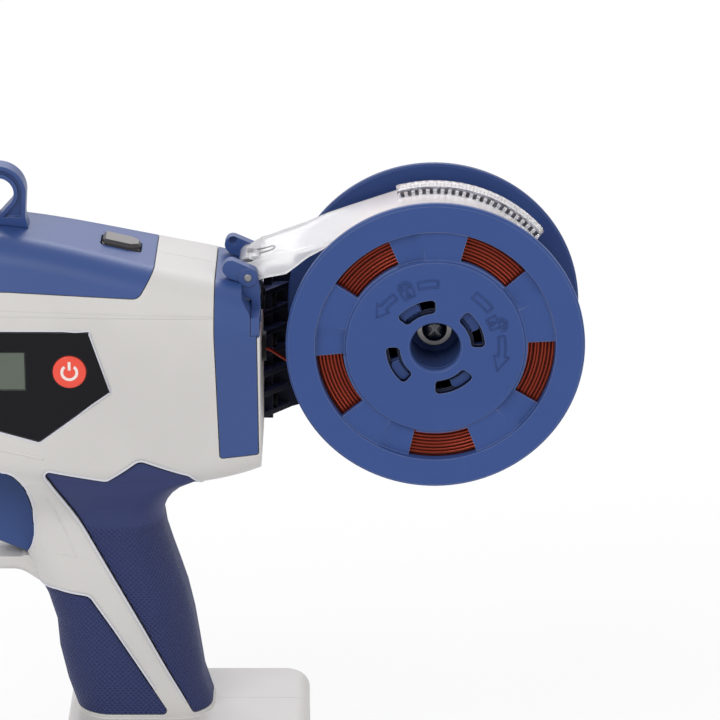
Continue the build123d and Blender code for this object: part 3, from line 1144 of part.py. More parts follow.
def battery_lid():
    lid = extrude(Plane.XY.offset(LID_Z + TOUCH) * pack_plan(0), PACK_HEIGHT - LID_Z - TOUCH)
    lid -= extrude(Plane.XY.offset(LID_Z) * pack_plan(PACK_WALL), PACK_HEIGHT - LID_Z - PACK_WALL)
    lid += bar(RAIL_FRONT, RAIL_REAR, RAIL_NECK / 2, PACK_HEIGHT - 1, RAIL_STEP + 1)
    lid += bar(RAIL_FRONT, RAIL_REAR, RAIL_HEAD / 2, RAIL_STEP, RAIL_TOP)
    for y in CONTACT_Y:
        lid -= block(RAIL_REAR - CONTACT_LENGTH - 1, RAIL_REAR + 1, y - CONTACT_HALF - FREE,
                     y + CONTACT_HALF + FREE, RAIL_STEP + CONTACT_EDGE / 2, RAIL_TOP + 1)
    return lid - latch_shape(FREE, LATCH_TRAVEL + FREE)


def latch_shape(gap, depth):
    front = -PACK_LENGTH / 2
    return bar(front - LATCH_PROUD - gap, front + LATCH_DEPTH + depth, LATCH_WIDTH / 2 + gap,
               LATCH_Z - LATCH_HEIGHT / 2 - gap, LATCH_Z + LATCH_HEIGHT / 2 + gap)


def battery_latch():
    key = latch_shape(0, 0)
    return chamfer(key.edges().group_by(Axis.X)[0], 0.8)


def battery_cells():
    cells = []
    for y in (-CELL_R - SEAT, CELL_R + SEAT):
        for z in (PACK_WALL + CELL_R + SEAT, PACK_WALL + 3 * CELL_R + 3 * SEAT):
            cells.append(along(-CELL_LENGTH / 2 + CELL_SHIFT, CELL_LENGTH / 2 + CELL_SHIFT, y, z, CELL_R))
    return Compound(children=cells)


def housing_screws():
    screws = []
    for x, rise, half in SCREWS:
        seat = half - SCREW_SINK + TOUCH
        head = across(x, AXIS_Z + rise, seat, seat + SCREW_HEAD_T, SCREW_HEAD_R)
        screws.append(head + across(x, AXIS_Z + rise, SCREW_BLIND + 1 - half, seat, SCREW_R))
    return Compound(children=screws)


def main():
    left, right = shells()
    save("left_shell", largest(left))
    save("right_shell", largest(right))
    save("top_cover", largest(top_cover()))
    save("hanging_eye", largest(hanging_eye()))
    save("feed_button", feed_button())
    save("rear_band", largest(rear_band()))
    save("display_panel", largest(display_panel()))
    save("lcd_display", lcd_block(0))
    save("power_button", power_button())
    save("control_board", control_board())
    save("grip_rear_pad", largest(grip_pad(REAR_PAD_FACE)))
    save("grip_front_pad", largest(grip_pad(FRONT_PAD_FACE)))
    save("trigger", trigger())
    save("trigger_switch", trigger_switch())
    save("switch_plunger", switch_plunger())
    save("housing_screws", housing_screws())
    save("spool_bracket", spool_bracket())
    save("bracket_screws", bracket_screws())
    save("spool_axle", spool_axle())
    save("axle_washer", axle_washer())
    save("axle_screw", axle_screw())
    save("spool_core", spool_core())
    save("lock_flange", lock_flange())
    save("wire_coil", wire_coil())
    save("wire_outer_layer", wire_outer_layer())
    save("tie_wire", tie_wire())
    save("hinge_yoke", hinge_yoke())
    save("hinge_pin", hinge_pin())
    save("guard_spring", guard_spring())
    save("coil_guard", coil_guard())
    save("drive_motor", drive_motor())
    save("drive_gearbox", drive_gearbox())
    save("twister_shaft", twister_shaft())
    save("twister_bearing", twister_bearing())
    save("twister_head", twister_head())
    save("feed_frame", feed_frame())
    save("feed_roller", feed_roller())
    save("idler_roller", idler_roller())
    save("idler_pin", idler_pin())
    save("feed_motor", feed_motor())
    save("wire_inlet", wire_inlet())
    save("wire_guide_tube", wire_guide_tube())
    save("hook_actuator", hook_actuator())
    save("hook_push_rod", hook_push_rod())
    save("hook_pin", hook_pin())
    save("binding_hook", binding_hook())
    save("lower_jaw", lower_jaw())
    save("nose_housing", largest(nose_housing()))
    save("nose_screws", nose_screws())
    save("cutter_blade", cutter_blade())
    save("terminal_block", terminal_block())
    save("battery_case", battery_case())
    save("battery_lid", battery_lid())
    save("battery_latch", battery_latch())
    save("battery_cells", battery_cells())


main()
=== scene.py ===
import json
import math

import bmesh
import bpy
from mathutils import Matrix, Vector
from mathutils.bvhtree import BVHTree


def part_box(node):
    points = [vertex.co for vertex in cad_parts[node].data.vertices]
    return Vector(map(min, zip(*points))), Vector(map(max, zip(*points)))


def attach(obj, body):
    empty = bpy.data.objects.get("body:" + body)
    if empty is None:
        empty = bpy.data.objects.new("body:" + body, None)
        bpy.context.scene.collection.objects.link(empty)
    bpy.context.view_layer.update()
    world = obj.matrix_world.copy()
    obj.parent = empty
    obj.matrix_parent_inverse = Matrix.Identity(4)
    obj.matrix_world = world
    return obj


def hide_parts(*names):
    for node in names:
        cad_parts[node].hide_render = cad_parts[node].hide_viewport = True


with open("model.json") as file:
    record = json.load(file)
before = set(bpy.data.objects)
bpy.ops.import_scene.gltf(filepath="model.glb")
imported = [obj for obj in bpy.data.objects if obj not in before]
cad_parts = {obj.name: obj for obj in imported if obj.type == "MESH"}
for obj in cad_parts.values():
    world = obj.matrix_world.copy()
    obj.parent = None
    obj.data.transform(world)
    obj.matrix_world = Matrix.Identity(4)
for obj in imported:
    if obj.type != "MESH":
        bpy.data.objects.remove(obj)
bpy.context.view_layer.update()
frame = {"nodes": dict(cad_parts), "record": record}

# Electric vine tying tool, metres in Blender; sizes below are in millimetres and angles in degrees.
MM = 0.001
NODES = frame["nodes"]

# How near points have to be to join, or to lie in a cut
WELD, CUT_NEAR = 0.002, 0.01

# Edges flatter than the first angle shade smooth, edges above the second count as sharp
SMOOTH_ANGLE, SHARP_ANGLE = 30, 50

# Roundness of wires, wound strands, ridges and fine lines; order and fineness of smooth curves
WIRE_ROUND, STRAND_ROUND, RIDGE_ROUND, LINE_ROUND = 4, 3, 6, 2
CURVE_ORDER, CURVE_STEPS = 3, 6

# View of the photograph: focal length in pixels, and where the spool's axis lies in the picture
PICTURE = 720
FOCAL = 4057.0
VIEW_DISTANCE = 1376.0
VIEW_ELEVATION = 19.9
SPOOL_IN_PICTURE = (434.2, 323.6)
SENSOR = 36.0

# Spool, as the frame has it
SPOOL_LOW, SPOOL_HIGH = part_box("spool_core")
SPOOL_X = (SPOOL_LOW.x + SPOOL_HIGH.x) / 2 / MM
SPOOL_Z = (SPOOL_LOW.z + SPOOL_HIGH.z) / 2 / MM
FLANGE_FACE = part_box("lock_flange")[0].y / MM
COIL_LOW, COIL_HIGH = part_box("wire_coil")
DRUM_R = 28.0
WINDING_R = (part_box("wire_outer_layer")[1].x / MM) - SPOOL_X
WINDING_HALF = (COIL_HIGH.y - COIL_LOW.y) / 2 / MM

# Winding: strands of the outer layer and of its two ends, and the plain ring below them, painted dark as
# the shade between strands
WIRE_R = 0.53
TURNS = 34
TURN_STEPS = 72
END_PITCH, END_START = 1.2, 40.0
END_FROM_DRUM, END_FROM_TOP = 0.8, 1.6
RING_END, RING_ROOM = 0.1, 0.2

# Uneven drift of the strands: (rate for each step, size), and the second wave laid over it
LAYER_DRIFT_Y, LAYER_DRIFT_R = (0.013, 0.12), (0.031, 0.06)
END_DRIFT_Y, END_DRIFT_R = (0.037, 0.12), (0.05, 0.10)
SECOND_SIZE, SECOND_RATE, SECOND_PHASE = 0.6, 2.7, 1.3

# Tie wire: round the winding to where it leaves, then its way (x, y, z) through the body
LEAVE_ANGLE = 231.0
TIE_WIRE_R, TIE_ROOM = 0.6, 0.1
TIE_START_ANGLE, TIE_STEPS = 268.0, 6
TIE_Y = 10.6
TIE_WAY = [
    (33.0, 1.9, 187.5), (27.5, 0.0, 192.0), (12.8, 0.0, 192.0),
    (0.2, 0.0, 204.0), (-148.0, 0.0, 204.0),
]

# Torsion spring of the guard, on its hinge pin
PIN_LOW, PIN_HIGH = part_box("hinge_pin")
PIN_X = (PIN_LOW.x + PIN_HIGH.x) / 2 / MM
PIN_Z = (PIN_LOW.z + PIN_HIGH.z) / 2 / MM
SPRING_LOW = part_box("guard_spring")[0]
SPRING_R, SPRING_WIRE, SPRING_TURNS = 2.9, 0.42, 3
SPRING_PITCH, SPRING_STEPS = 1.27, 24

# Legs of the spring: (x from the side of its turns, z from the pin)
WEB_LEG = [(1.6, -5.4), (1.4, -4.2), (0.0, -2.2)]
GUARD_LEG = [(0.0, 1.4), (1.2, 2.4), (9.5, 4.9)]

# Far turns of the spring round the guard's barrel
FAR_TURNS_R, FAR_TURN_WIRE = 3.78, 0.30
FAR_TURNS_Y = (1.6, 3.0, 4.4)
FAR_TURNS_START, FAR_TURNS_END, FAR_TURNS_STEP = 35, 101, 11

# Loop of the spring on the guard (x, y), and its height above the pin where no plate lies under it
GUARD_LOOP = [
    (25.2, -3.9), (28.2, -3.1), (30.6, -2.6), (31.3, -4.6),
    (30.8, -6.6), (28.6, -7.2), (26.2, -7.8),
]
GUARD_LOOP_WIRE, LOOP_START = 0.34, 6.4

# Guard: plate over the winding, and the thumb comb on it, narrowed and set back to the far side
GUARD_GAP, GUARD_PLATE = 1.2, 2.0
GUARD_START, GUARD_END = 107.0, 39.0
GUARD_R = WINDING_R + GUARD_GAP + GUARD_PLATE
BARREL_R, BARREL_CLEAR = 3.4, 4.2
COMB_HALF, COMB_HEIGHT, COMB_GROOVE = 6.5, 4.2, 1.5
COMB_NARROWED, COMB_MIDDLE, COMB_LEAST_HALF = 3.7, 6.2, 0.3
COMB_END, COMB_END_ARC = 0.5, 1.2
GROOVE_HIGH, GROOVE_LOWERED, COMB_LOWERED = 3.3, 2.0, 3.7

# Straight arm of the guard: its slope, and how far it drops at each place behind the pin
ARM_SLOPE = math.tan(math.radians(GUARD_START - 90))
ARM_DROPS = [(0.0, -1.2), (8.0, -1.5), (20.0, -1.7), (34.0, -1.0)]

# How near a point or a face has to be to count as part of the comb, the arm or the barrel
COMB_ARC_NEAR, COMB_NEAR, GROOVE_BELOW = 0.5, 0.05, 0.5
ARM_NEAR, FACE_NEAR = 0.4, 0.1
BARREL_NEAR, BARREL_PAST = 0.2, 1.0

# Places of the guard's finishes on it
PLATE_PLACE, COMB_PLACE, GROOVE_PLACE = 0, 1, 2

# Keyhole slots of the flange
SLOT_IN, SLOT_OUT, SLOT_RIM = 11.5, 17.0, 0.15
LUG_DEPTH, LUG_IN, LUG_CUT = 2.4, 12.6, 13.3

# Feed button: its cap, and the tapered ends of it
CAP_LOW, CAP_HALF, CAP_STRAIGHT, CAP_TAPER = 223.2, 5.05, 4.4, 0.55
CAP_NEAR, CAP_FACING = 0.1, 0.9

# Faces of the spool's arm that look up by this much are the tops of its ribs, painted lighter as lit faces
RIB_LIT_FACING = 0.6

# Ridges on each side of the housing: (x, z, radius) at their ends, and how far they stand out
SIDE_RIDGES = [
    ([(-140.0, 213.4, 0.35), (-60.0, 213.1, 1.6), (11.0, 211.9, 0.35)], 0.40),
    ([(-66.0, 166.6, 0.3), (-58.0, 164.9, 0.8), (-46.5, 162.1, 0.5)], 0.25),
    ([(-46.2, 145.8, 0.3), (-37.0, 121.6, 0.3)], 0.14),
    ([(-51.6, 123.7, 0.3), (-44.0, 123.0, 0.3), (-37.0, 121.2, 0.3)], 0.14),
]
RIDGE_STEP = 4.0

# Upper rear corner of the trigger's opening (x, z), taken out of each cheek from CHEEK_IN outwards;
# its first CORNER_POINTS lie on the opening's edge, which goes on down OPENING_SIDE
OPENING_CORNER = [
    (-61.5, 156.7), (-59.1, 156.3), (-57.6, 155.5), (-56.1, 154.2), (-54.7, 152.6), (-53.6, 150.8),
    (-52.9, 148.8), (-52.3, 146.4), (-51.7, 143.3), (-51.3, 139.6), (-60.0, 139.0), (-66.0, 150.0),
]
CORNER_POINTS = 10
OPENING_SIDE = [(-51.1, 137.0), (-50.9, 133.1), (-51.1, 129.0), (-52.1, 124.8), (-52.9, 122.6)]
CHEEK_IN, CHEEK_OUT = 9.3, 40.0
# The lip of the opening is painted light as a highlight; the gap inside it is a dark bead of painted shadow
OPENING_LIP, OPENING_LIP_OUT = 0.42, 0.3
OPENING_GAP = 0.40

# Lips of the housing round the inlays, painted lighter than the shell as a painted highlight; the gap line
# inside them is a dark bead of painted shadow
LIP_R, LIP_OUT, LIP_BOTTOM = 0.30, 0.55, 66.0
PAD_LIP_R, PAD_LIP_OUT, PAD_LIFT = 0.38, 0.80, 0.55
GAP_R, GAP_OUT, GAP_LIFT = 0.22, 0.15, 0.22

# Axle screw: dome, collar and shank as shares of the head's radius, and the crossed recess
DOME_SHARE, COLLAR_SHARE, SHANK_SHARE = 0.5, 0.3, 0.45
DOME_STEPS, HEAD_STEPS = 8, 40
CROSS_WIDTH, CROSS_REACH, CROSS_DEPTH = 1.3, 5.0, 1.7
CROSS_TURNS = (45, 135)

# Signs on the flange: mean radius of their ring, and the lines that stand out from it, painted darker than
# the flange as their shade
RELIEF_R = 22.3
RELIEF_LINE = 0.34
ARC_STEP = 2.0
BAR_HALF = 1.2
ARROW_HALF, ARROW_HEAD, ARROW_NECK = 1.1, 2.5, 0.58

# Padlock, upright: (across, up) from the ring, and its bow, which goes aside where the lock is open
LOCK_BODY = [(-2.2, -2.8), (2.2, -2.8), (2.2, 0.5), (-2.2, 0.5), (-2.2, -2.8)]
LOCK_MARK = [(-0.8, -2.1), (0.8, -2.1), (0.0, -0.3), (-0.8, -2.1)]
BOW_SIZES, BOW_STEP = (2.1, 1.1), 20
BOW_FOOT, BOW_MIDDLE, BOW_ASIDE = 0.5, 0.9, 1.5

# Angles of each sign: start and end of its bar, its padlock, start and end of its arrow
LOCKING = ((88, 105), 116, (127, 152))
UNLOCKING = ((55, 36), 24, (10, -22))

# Sign on the power button: inner and outer radius, half its gap, and the stroke in the gap
POWER_LOW, POWER_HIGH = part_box("power_button")
POWER_X = (POWER_LOW.x + POWER_HIGH.x) / 2 / MM
POWER_Z = (POWER_LOW.z + POWER_HIGH.z) / 2 / MM
POWER_RING = (2.0, 3.0)
POWER_GAP, POWER_STEPS = 38.0, 30
POWER_STROKE, POWER_STROKE_AT = 3.0, 0.75
POWER_PRINT = 0.06

# Finishes, as linear colours
GREY = (0.60, 0.585, 0.565)
BUTTON_GREY = (0.045, 0.043, 0.045)
BUTTON_TOP = (0.22, 0.21, 0.205)
BLUE = (0.032, 0.070, 0.225)
SPOOL_BLUE = (0.033, 0.073, 0.240)
# Painted shade: the spool's blue made darker for the drum, far flange and lugs
SHADED_CORE_BLUE = (0.023, 0.052, 0.180)
# Painted shade in the keyhole slots of the flange
SLOT_SHADE_BLUE = (0.006, 0.010, 0.036)
# Painted shade: the flange's blue made darker for its raised signs
RELIEF_SHADED_BLUE = (0.024, 0.054, 0.185)
# Painted shade in the grooves of the clear comb
GROOVE_SHADE_GREY = (0.20, 0.20, 0.24)
# Painted highlight: lips of the housing, lighter than its own grey
LIP_HIGHLIGHT = (0.62, 0.625, 0.69)
NAVY = (0.031, 0.042, 0.132)
TRIGGER_BLUE = (0.037, 0.073, 0.220)
# Bracket painted darker than its own navy as painted shade in its pockets; its rib tops painted lighter as
# painted light
BRACKET_SHADED = (0.004, 0.005, 0.016)
RIB_TOP_LIT = (0.046, 0.058, 0.155)
BLACK = (0.006, 0.006, 0.008)
RED = (0.80, 0.075, 0.045)
LCD = (0.092, 0.113, 0.088)
WIRE = (0.235, 0.031, 0.015)
# Painted shade between the strands of the winding
WIRE_GAP_SHADE = (0.050, 0.008, 0.006)
STEEL = (0.58, 0.58, 0.60)
PIN_STEEL = (0.30, 0.30, 0.31)
WASHER_STEEL = (0.46, 0.44, 0.42)
TOOL_STEEL = (0.30, 0.30, 0.32)
SCREW_BLACK = (0.10, 0.10, 0.11)
DARK_STEEL = (0.035, 0.035, 0.04)
CAST = (0.30, 0.31, 0.33)
BRASS = (0.62, 0.42, 0.16)
BATTERY = (0.018, 0.020, 0.028)
BOARD = (0.010, 0.085, 0.035)
CELL = (0.05, 0.22, 0.33)
PRINT = (0.88, 0.76, 0.72)
CLEAR = (0.97, 0.965, 0.965)
FLOOR_WHITE = (0.86, 0.86, 0.86)
WHITE, COOL_WHITE = (1.0, 1.0, 1.0), (0.93, 0.93, 1.0)

# Moulded surface: how far a rounded edge turns where its painted highlight starts and where it is full, and
# the spread and detail of its tone and grain
BEVEL_SAMPLES = 6
EDGE_FLAT, EDGE_TURNED = 0.995, 0.80
TONE_LOW, TONE_HIGH, TONE_DETAIL = 0.3, 0.7, 4.0
GRAIN_DETAIL = 3.0

# Colour sockets of a Mix node, by their places
MIX_FIRST, MIX_SECOND, MIX_RESULT = 6, 7, 2

# Share of the light that clear plastic lets through to what it covers
LET_THROUGH = 0.9

# The housing is blue round the yoke: from so far behind its front, up from so far below its foot
NOTCH_IN, NOTCH_DROP = 4.0, 0.6

# Knurl of the soft grip, which fades in below its top
KNURL_PITCH, KNURL_DEPTH, KNURL_TOP, KNURL_FADE = 1.8, 0.24, 134.0, 3.0

# Stage in metres and watts; each softbox has its place, size, power and colour
WORLD_LIGHT = 0.55
FLOOR_HALF, FLOOR_ROUGHNESS, FLOOR_GLOW = 12.0, 0.9, 0.75
LIGHT_TARGET = (0.0, 0.0, 0.16)
SOFTBOXES = {
    "key_light": ((-0.7, -1.2, 1.5), (1.2, 0.9), 14.0, WHITE),
    "fill_light": ((1.2, -1.1, 0.7), (1.0, 1.0), 5.0, WHITE),
    "back_light": ((-0.1, 1.2, 1.2), (1.8, 0.8), 15.5, COOL_WHITE),
}


# Shader groups

def new_group(name, inputs, outputs):
    """Shader group with these sockets, and its entry and exit nodes."""
    tree = bpy.data.node_groups.new(name, "ShaderNodeTree")
    for label, kind in inputs:
        tree.interface.new_socket(label, in_out="INPUT", socket_type="NodeSocket" + kind)
    for label, kind in outputs:
        tree.interface.new_socket(label, in_out="OUTPUT", socket_type="NodeSocket" + kind)
    return tree, tree.nodes.new("NodeGroupInput"), tree.nodes.new("NodeGroupOutput")


def add(tree, kind, **settings):
    """New node of a shader tree with its settings."""
    node = tree.nodes.new(kind)
    for key, value in settings.items():
        setattr(node, key, value)
    return node


def mix_shaders(tree, share, first, second, output):
    """First shader with a share of the second, shown by an output node."""
    mix = add(tree, "ShaderNodeMixShader")
    tree.links.new(share.outputs[0], mix.inputs["Fac"])
    tree.links.new(first.outputs[0], mix.inputs[1])
    tree.links.new(second.outputs[0], mix.inputs[2])
    tree.links.new(mix.outputs[0], tree.nodes[output].inputs["Surface"])


def moulding_group():
    """Rounded edges painted lighter as a highlight, fine moulded grain and a slight change of tone and
    gloss.
    """
    numbers = ("Edge Radius", "Edge Highlight", "Grain Scale", "Grain Depth", "Tone Change", "Tone Scale",
               "Roughness")
    tree, entry, leave = new_group(
        "moulded_surface",
        [("Vector", "Vector"), ("Colour", "Color"), ("Edge Highlight Colour", "Color")]
        + [(label, "Float") for label in numbers],
        [("Colour", "Color"), ("Roughness", "Float"), ("Normal", "Vector")])
    link = tree.links.new
    rounded = add(tree, "ShaderNodeBevel", samples=BEVEL_SAMPLES)
    link(entry.outputs["Edge Radius"], rounded.inputs["Radius"])
    true = add(tree, "ShaderNodeNewGeometry")
    facing = add(tree, "ShaderNodeVectorMath", operation="DOT_PRODUCT")
    link(rounded.outputs["Normal"], facing.inputs[0])
    link(true.outputs["Normal"], facing.inputs[1])
    edge = add(tree, "ShaderNodeMapRange")
    edge.inputs["From Min"].default_value = EDGE_FLAT
    edge.inputs["From Max"].default_value = EDGE_TURNED
    link(facing.outputs["Value"], edge.inputs["Value"])
    # Rounded edges are mixed towards the lighter edge colour: a painted highlight
    edge_highlight = add(tree, "ShaderNodeMath", operation="MULTIPLY")
    link(edge.outputs["Result"], edge_highlight.inputs[0])
    link(entry.outputs["Edge Highlight"], edge_highlight.inputs[1])
    broad = add(tree, "ShaderNodeTexNoise")
    broad.inputs["Detail"].default_value = TONE_DETAIL
    link(entry.outputs["Tone Scale"], broad.inputs["Scale"])
    link(entry.outputs["Vector"], broad.inputs["Vector"])
    tone = add(tree, "ShaderNodeMapRange")
    tone.inputs["From Min"].default_value = TONE_LOW
    tone.inputs["From Max"].default_value = TONE_HIGH
    low = add(tree, "ShaderNodeMath", operation="SUBTRACT")
    low.inputs[0].default_value = 1.0
    high = add(tree, "ShaderNodeMath", operation="ADD")
    high.inputs[0].default_value = 1.0
    for node in (low, high):
        link(entry.outputs["Tone Change"], node.inputs[1])
    link(broad.outputs["Fac"], tone.inputs["Value"])
    link(low.outputs[0], tone.inputs["To Min"])
    link(high.outputs[0], tone.inputs["To Max"])
    toned = add(tree, "ShaderNodeVectorMath", operation="SCALE")
    link(entry.outputs["Colour"], toned.inputs[0])
    link(tone.outputs["Result"], toned.inputs["Scale"])
    mixed = add(tree, "ShaderNodeMix", data_type="RGBA")
    link(edge_highlight.outputs[0], mixed.inputs["Factor"])
    link(toned.outputs[0], mixed.inputs[MIX_FIRST])
    link(entry.outputs["Edge Highlight Colour"], mixed.inputs[MIX_SECOND])
    grain = add(tree, "ShaderNodeTexNoise")
    grain.inputs["Detail"].default_value = GRAIN_DETAIL
    link(entry.outputs["Vector"], grain.inputs["Vector"])
    link(entry.outputs["Grain Scale"], grain.inputs["Scale"])
    bump = add(tree, "ShaderNodeBump")
    link(entry.outputs["Grain Depth"], bump.inputs["Distance"])
    link(grain.outputs["Fac"], bump.inputs["Height"])
    link(rounded.outputs["Normal"], bump.inputs["Normal"])
    gloss = add(tree, "ShaderNodeMath", operation="MULTIPLY")
    link(entry.outputs["Roughness"], gloss.inputs[0])
    link(tone.outputs["Result"], gloss.inputs[1])
    link(mixed.outputs[MIX_RESULT], leave.inputs["Colour"])
    link(gloss.outputs[0], leave.inputs["Roughness"])
    link(bump.outputs["Normal"], leave.inputs["Normal"])
    return tree


MOULDING = moulding_group()


def lighter(colour, amount):
    """Colour moved towards white by this share."""
    return tuple(min(1.0, part + (1.0 - part) * amount) for part in colour)


def surface(name, colour, roughness, edge=0.12, radius=0.4, edge_highlight=0.5, grain=2200.0, depth=0.03,
            tone=0.06, spread=16.0, metallic=0.0, specular=0.25):
    """Material on the shared moulded surface, with painted highlights on its rounded edges; radius and
    depth are in millimetres.
    """
    material = bpy.data.materials.new(name)
    material.use_nodes = True
    tree = material.node_tree
    shader = tree.nodes["Principled BSDF"]
    place = add(tree, "ShaderNodeTexCoord")
    group = add(tree, "ShaderNodeGroup", node_tree=MOULDING)
    tree.links.new(place.outputs["Object"], group.inputs["Vector"])
    values = {
        "Colour": (*colour, 1),
        "Edge Highlight Colour": (*lighter(colour, edge), 1),
        "Edge Radius": radius * MM,
        "Edge Highlight": edge_highlight,
        "Grain Scale": grain,
        "Grain Depth": depth * MM,
        "Tone Change": tone,
        "Tone Scale": spread,
        "Roughness": roughness,
    }
    for label, value in values.items():
        group.inputs[label].default_value = value
    for label, target in (("Colour", "Base Color"), ("Roughness", "Roughness"), ("Normal", "Normal")):
        tree.links.new(group.outputs[label], shader.inputs[target])
    shader.inputs["Metallic"].default_value = metallic
    shader.inputs["Specular IOR Level"].default_value = specular
    return material


def clear_plastic(name, roughness, clarity, bending):
    """Clear moulding with a milk to it; it lets most of the light through to what it covers."""
    material = surface(name, CLEAR, roughness, edge=0.0, radius=0.5, grain=60.0, depth=0.02, tone=0.01,
                       specular=0.5)
    tree = material.node_tree
    shader = tree.nodes["Principled BSDF"]
    shader.inputs["Transmission Weight"].default_value = clarity
    shader.inputs["IOR"].default_value = bending
    path = add(tree, "ShaderNodeLightPath")
    passed = add(tree, "ShaderNodeMath", operation="MULTIPLY")
    passed.inputs[1].default_value = LET_THROUGH
    tree.links.new(path.outputs["Is Shadow Ray"], passed.inputs[0])
    mix_shaders(tree, passed, shader, add(tree, "ShaderNodeBsdfTransparent"), "Material Output")
    return material


def knurled(name, colour, roughness, round_end):
    """Soft grip with a fine crossed knurl below the thumb rest, which runs on round one end of the grip."""
    material = surface(name, colour, roughness)
    tree = material.node_tree
    link = tree.links.new
    place = add(tree, "ShaderNodeTexCoord")
    parts = add(tree, "ShaderNodeSeparateXYZ")
    link(place.outputs["Object"], parts.inputs[0])
    girth = add(tree, "ShaderNodeMath", operation="ABSOLUTE")
    link(parts.outputs["Y"], girth.inputs[0])
    lengthwise = add(tree, "ShaderNodeMath", operation=round_end)
    link(parts.outputs["X"], lengthwise.inputs[0])
    link(girth.outputs[0], lengthwise.inputs[1])
    waves = []
    for operation in ("ADD", "SUBTRACT"):
        slant = add(tree, "ShaderNodeMath", operation=operation)
        link(lengthwise.outputs[0], slant.inputs[0])
        link(parts.outputs["Z"], slant.inputs[1])
        scaled = add(tree, "ShaderNodeMath", operation="MULTIPLY")
        scaled.inputs[1].default_value = 2 * math.pi / (KNURL_PITCH * MM)
        link(slant.outputs[0], scaled.inputs[0])
        wave = add(tree, "ShaderNodeMath", operation="SINE")
        link(scaled.outputs[0], wave.inputs[0])
        waves.append(wave)
    pattern = add(tree, "ShaderNodeMath", operation="MAXIMUM")
    for wave, socket in zip(waves, pattern.inputs):
        link(wave.outputs[0], socket)
    below = add(tree, "ShaderNodeMapRange")
    below.inputs["From Min"].default_value = KNURL_TOP * MM
    below.inputs["From Max"].default_value = (KNURL_TOP - KNURL_FADE) * MM
    link(parts.outputs["Z"], below.inputs["Value"])
    shown = add(tree, "ShaderNodeMath", operation="MULTIPLY")
    link(pattern.outputs[0], shown.inputs[0])
    link(below.outputs["Result"], shown.inputs[1])
    bump = add(tree, "ShaderNodeBump")
    bump.inputs["Distance"].default_value = KNURL_DEPTH * MM
    link(shown.outputs[0], bump.inputs["Height"])
    group = next(node for node in tree.nodes if node.type == "GROUP")
    link(group.outputs["Normal"], bump.inputs["Normal"])
    link(bump.outputs["Normal"], tree.nodes["Principled BSDF"].inputs["Normal"])
    return material


FINISH = {
    # The edges of the shell and the spool are painted well towards white, a painted highlight along them
    "shell_grey": surface("shell_grey", GREY, 0.46, edge=0.4, radius=0.7, edge_highlight=0.9),
    "trim_blue": surface("trim_blue", BLUE, 0.38, specular=0.4),
    "spool_blue": surface("spool_blue", SPOOL_BLUE, 0.42, edge=0.16, radius=0.5, edge_highlight=0.9),
    "button_grey": surface("button_grey", BUTTON_GREY, 0.42, edge=0.25),
    "panel_black": surface("panel_black", BLACK, 0.22, edge=0.25, depth=0.0, specular=0.15),
    "lcd_green": surface("lcd_green", LCD, 0.22, depth=0.0, edge=0.0, specular=0.4),
    "button_red": surface("button_red", RED, 0.30, depth=0.0, edge=0.3, specular=0.4),
    "board_green": surface("board_green", BOARD, 0.35),
    "grip_navy": knurled("grip_navy", NAVY, 0.55, "SUBTRACT"),
    "trigger_blue": surface("trigger_blue", TRIGGER_BLUE, 0.42),
    "inner_black": surface("inner_black", BLACK, 0.5),
    "steel": surface("steel", STEEL, 0.30, metallic=1.0, depth=0.008),
    "spring_dark": surface("spring_dark", DARK_STEEL, 0.26, metallic=1.0, depth=0.004, radius=0.05,
                           edge_highlight=0.0),
    # The bracket's own navy, darkened as painted shade
    "bracket_dark": surface("bracket_dark", BRACKET_SHADED, 0.55, specular=0.12),
    "wire_coat": surface("wire_coat", WIRE, 0.21, depth=0.006, radius=0.05, edge_highlight=0.0, metallic=0.6),
    "motor_metal": surface("motor_metal", CAST, 0.35, metallic=1.0),
    "brass": surface("brass", BRASS, 0.30, metallic=1.0),
    "nose_metal": surface("nose_metal", CAST, 0.45, metallic=1.0, depth=0.05, grain=1500.0),
    "battery_dark": surface("battery_dark", BATTERY, 0.50),
    "cell_sleeve": surface("cell_sleeve", CELL, 0.35),
    "guard_clear": clear_plastic("guard_clear", 0.16, 0.60, 1.3),
}
COMB_FINISH = clear_plastic("guard_comb", 0.08, 0.82, 1.35)
GROOVE_SHADE_FINISH = surface("comb_groove_shade", GROOVE_SHADE_GREY, 0.12, depth=0.0, tone=0.9, spread=520.0, specular=0.8)
SLOT_SHADE_FINISH = surface("slot_shade", SLOT_SHADE_BLUE, 0.5)
RELIEF_SHADED_FINISH = surface("relief_blue_shaded", RELIEF_SHADED_BLUE, 0.34, depth=0.0, radius=0.1)
SHADED_CORE_FINISH = surface("core_blue_shaded", SHADED_CORE_BLUE, 0.45)
WASHER_FINISH = surface("washer_steel", WASHER_STEEL, 0.36, metallic=1.0, depth=0.01)
SCREW_FINISH = surface("screw_black", SCREW_BLACK, 0.20, metallic=1.0, depth=0.004, radius=0.12, edge=0.35)
PIN_FINISH = surface("pin_steel", PIN_STEEL, 0.42, metallic=1.0, depth=0.01)
RIB_LIT_FINISH = surface("rib_top_lit", RIB_TOP_LIT, 0.50)
WINDING_SHADE = surface("winding_shade", WIRE_GAP_SHADE, 0.6, specular=0.1)
FRONT_GRIP_FINISH = knurled("front_grip_navy", NAVY, 0.55, "ADD")
SYMBOL_FINISH = surface("symbol_print", PRINT, 0.5)
# Lips are the shell's plastic painted lighter, a painted highlight on their rounding
LIP_HIGHLIGHT_FINISH = surface("lip_highlight", LIP_HIGHLIGHT, 0.40, depth=0.01, radius=0.1)
BUTTON_TOP_FINISH = surface("button_top", BUTTON_TOP, 0.45, edge=0.3)
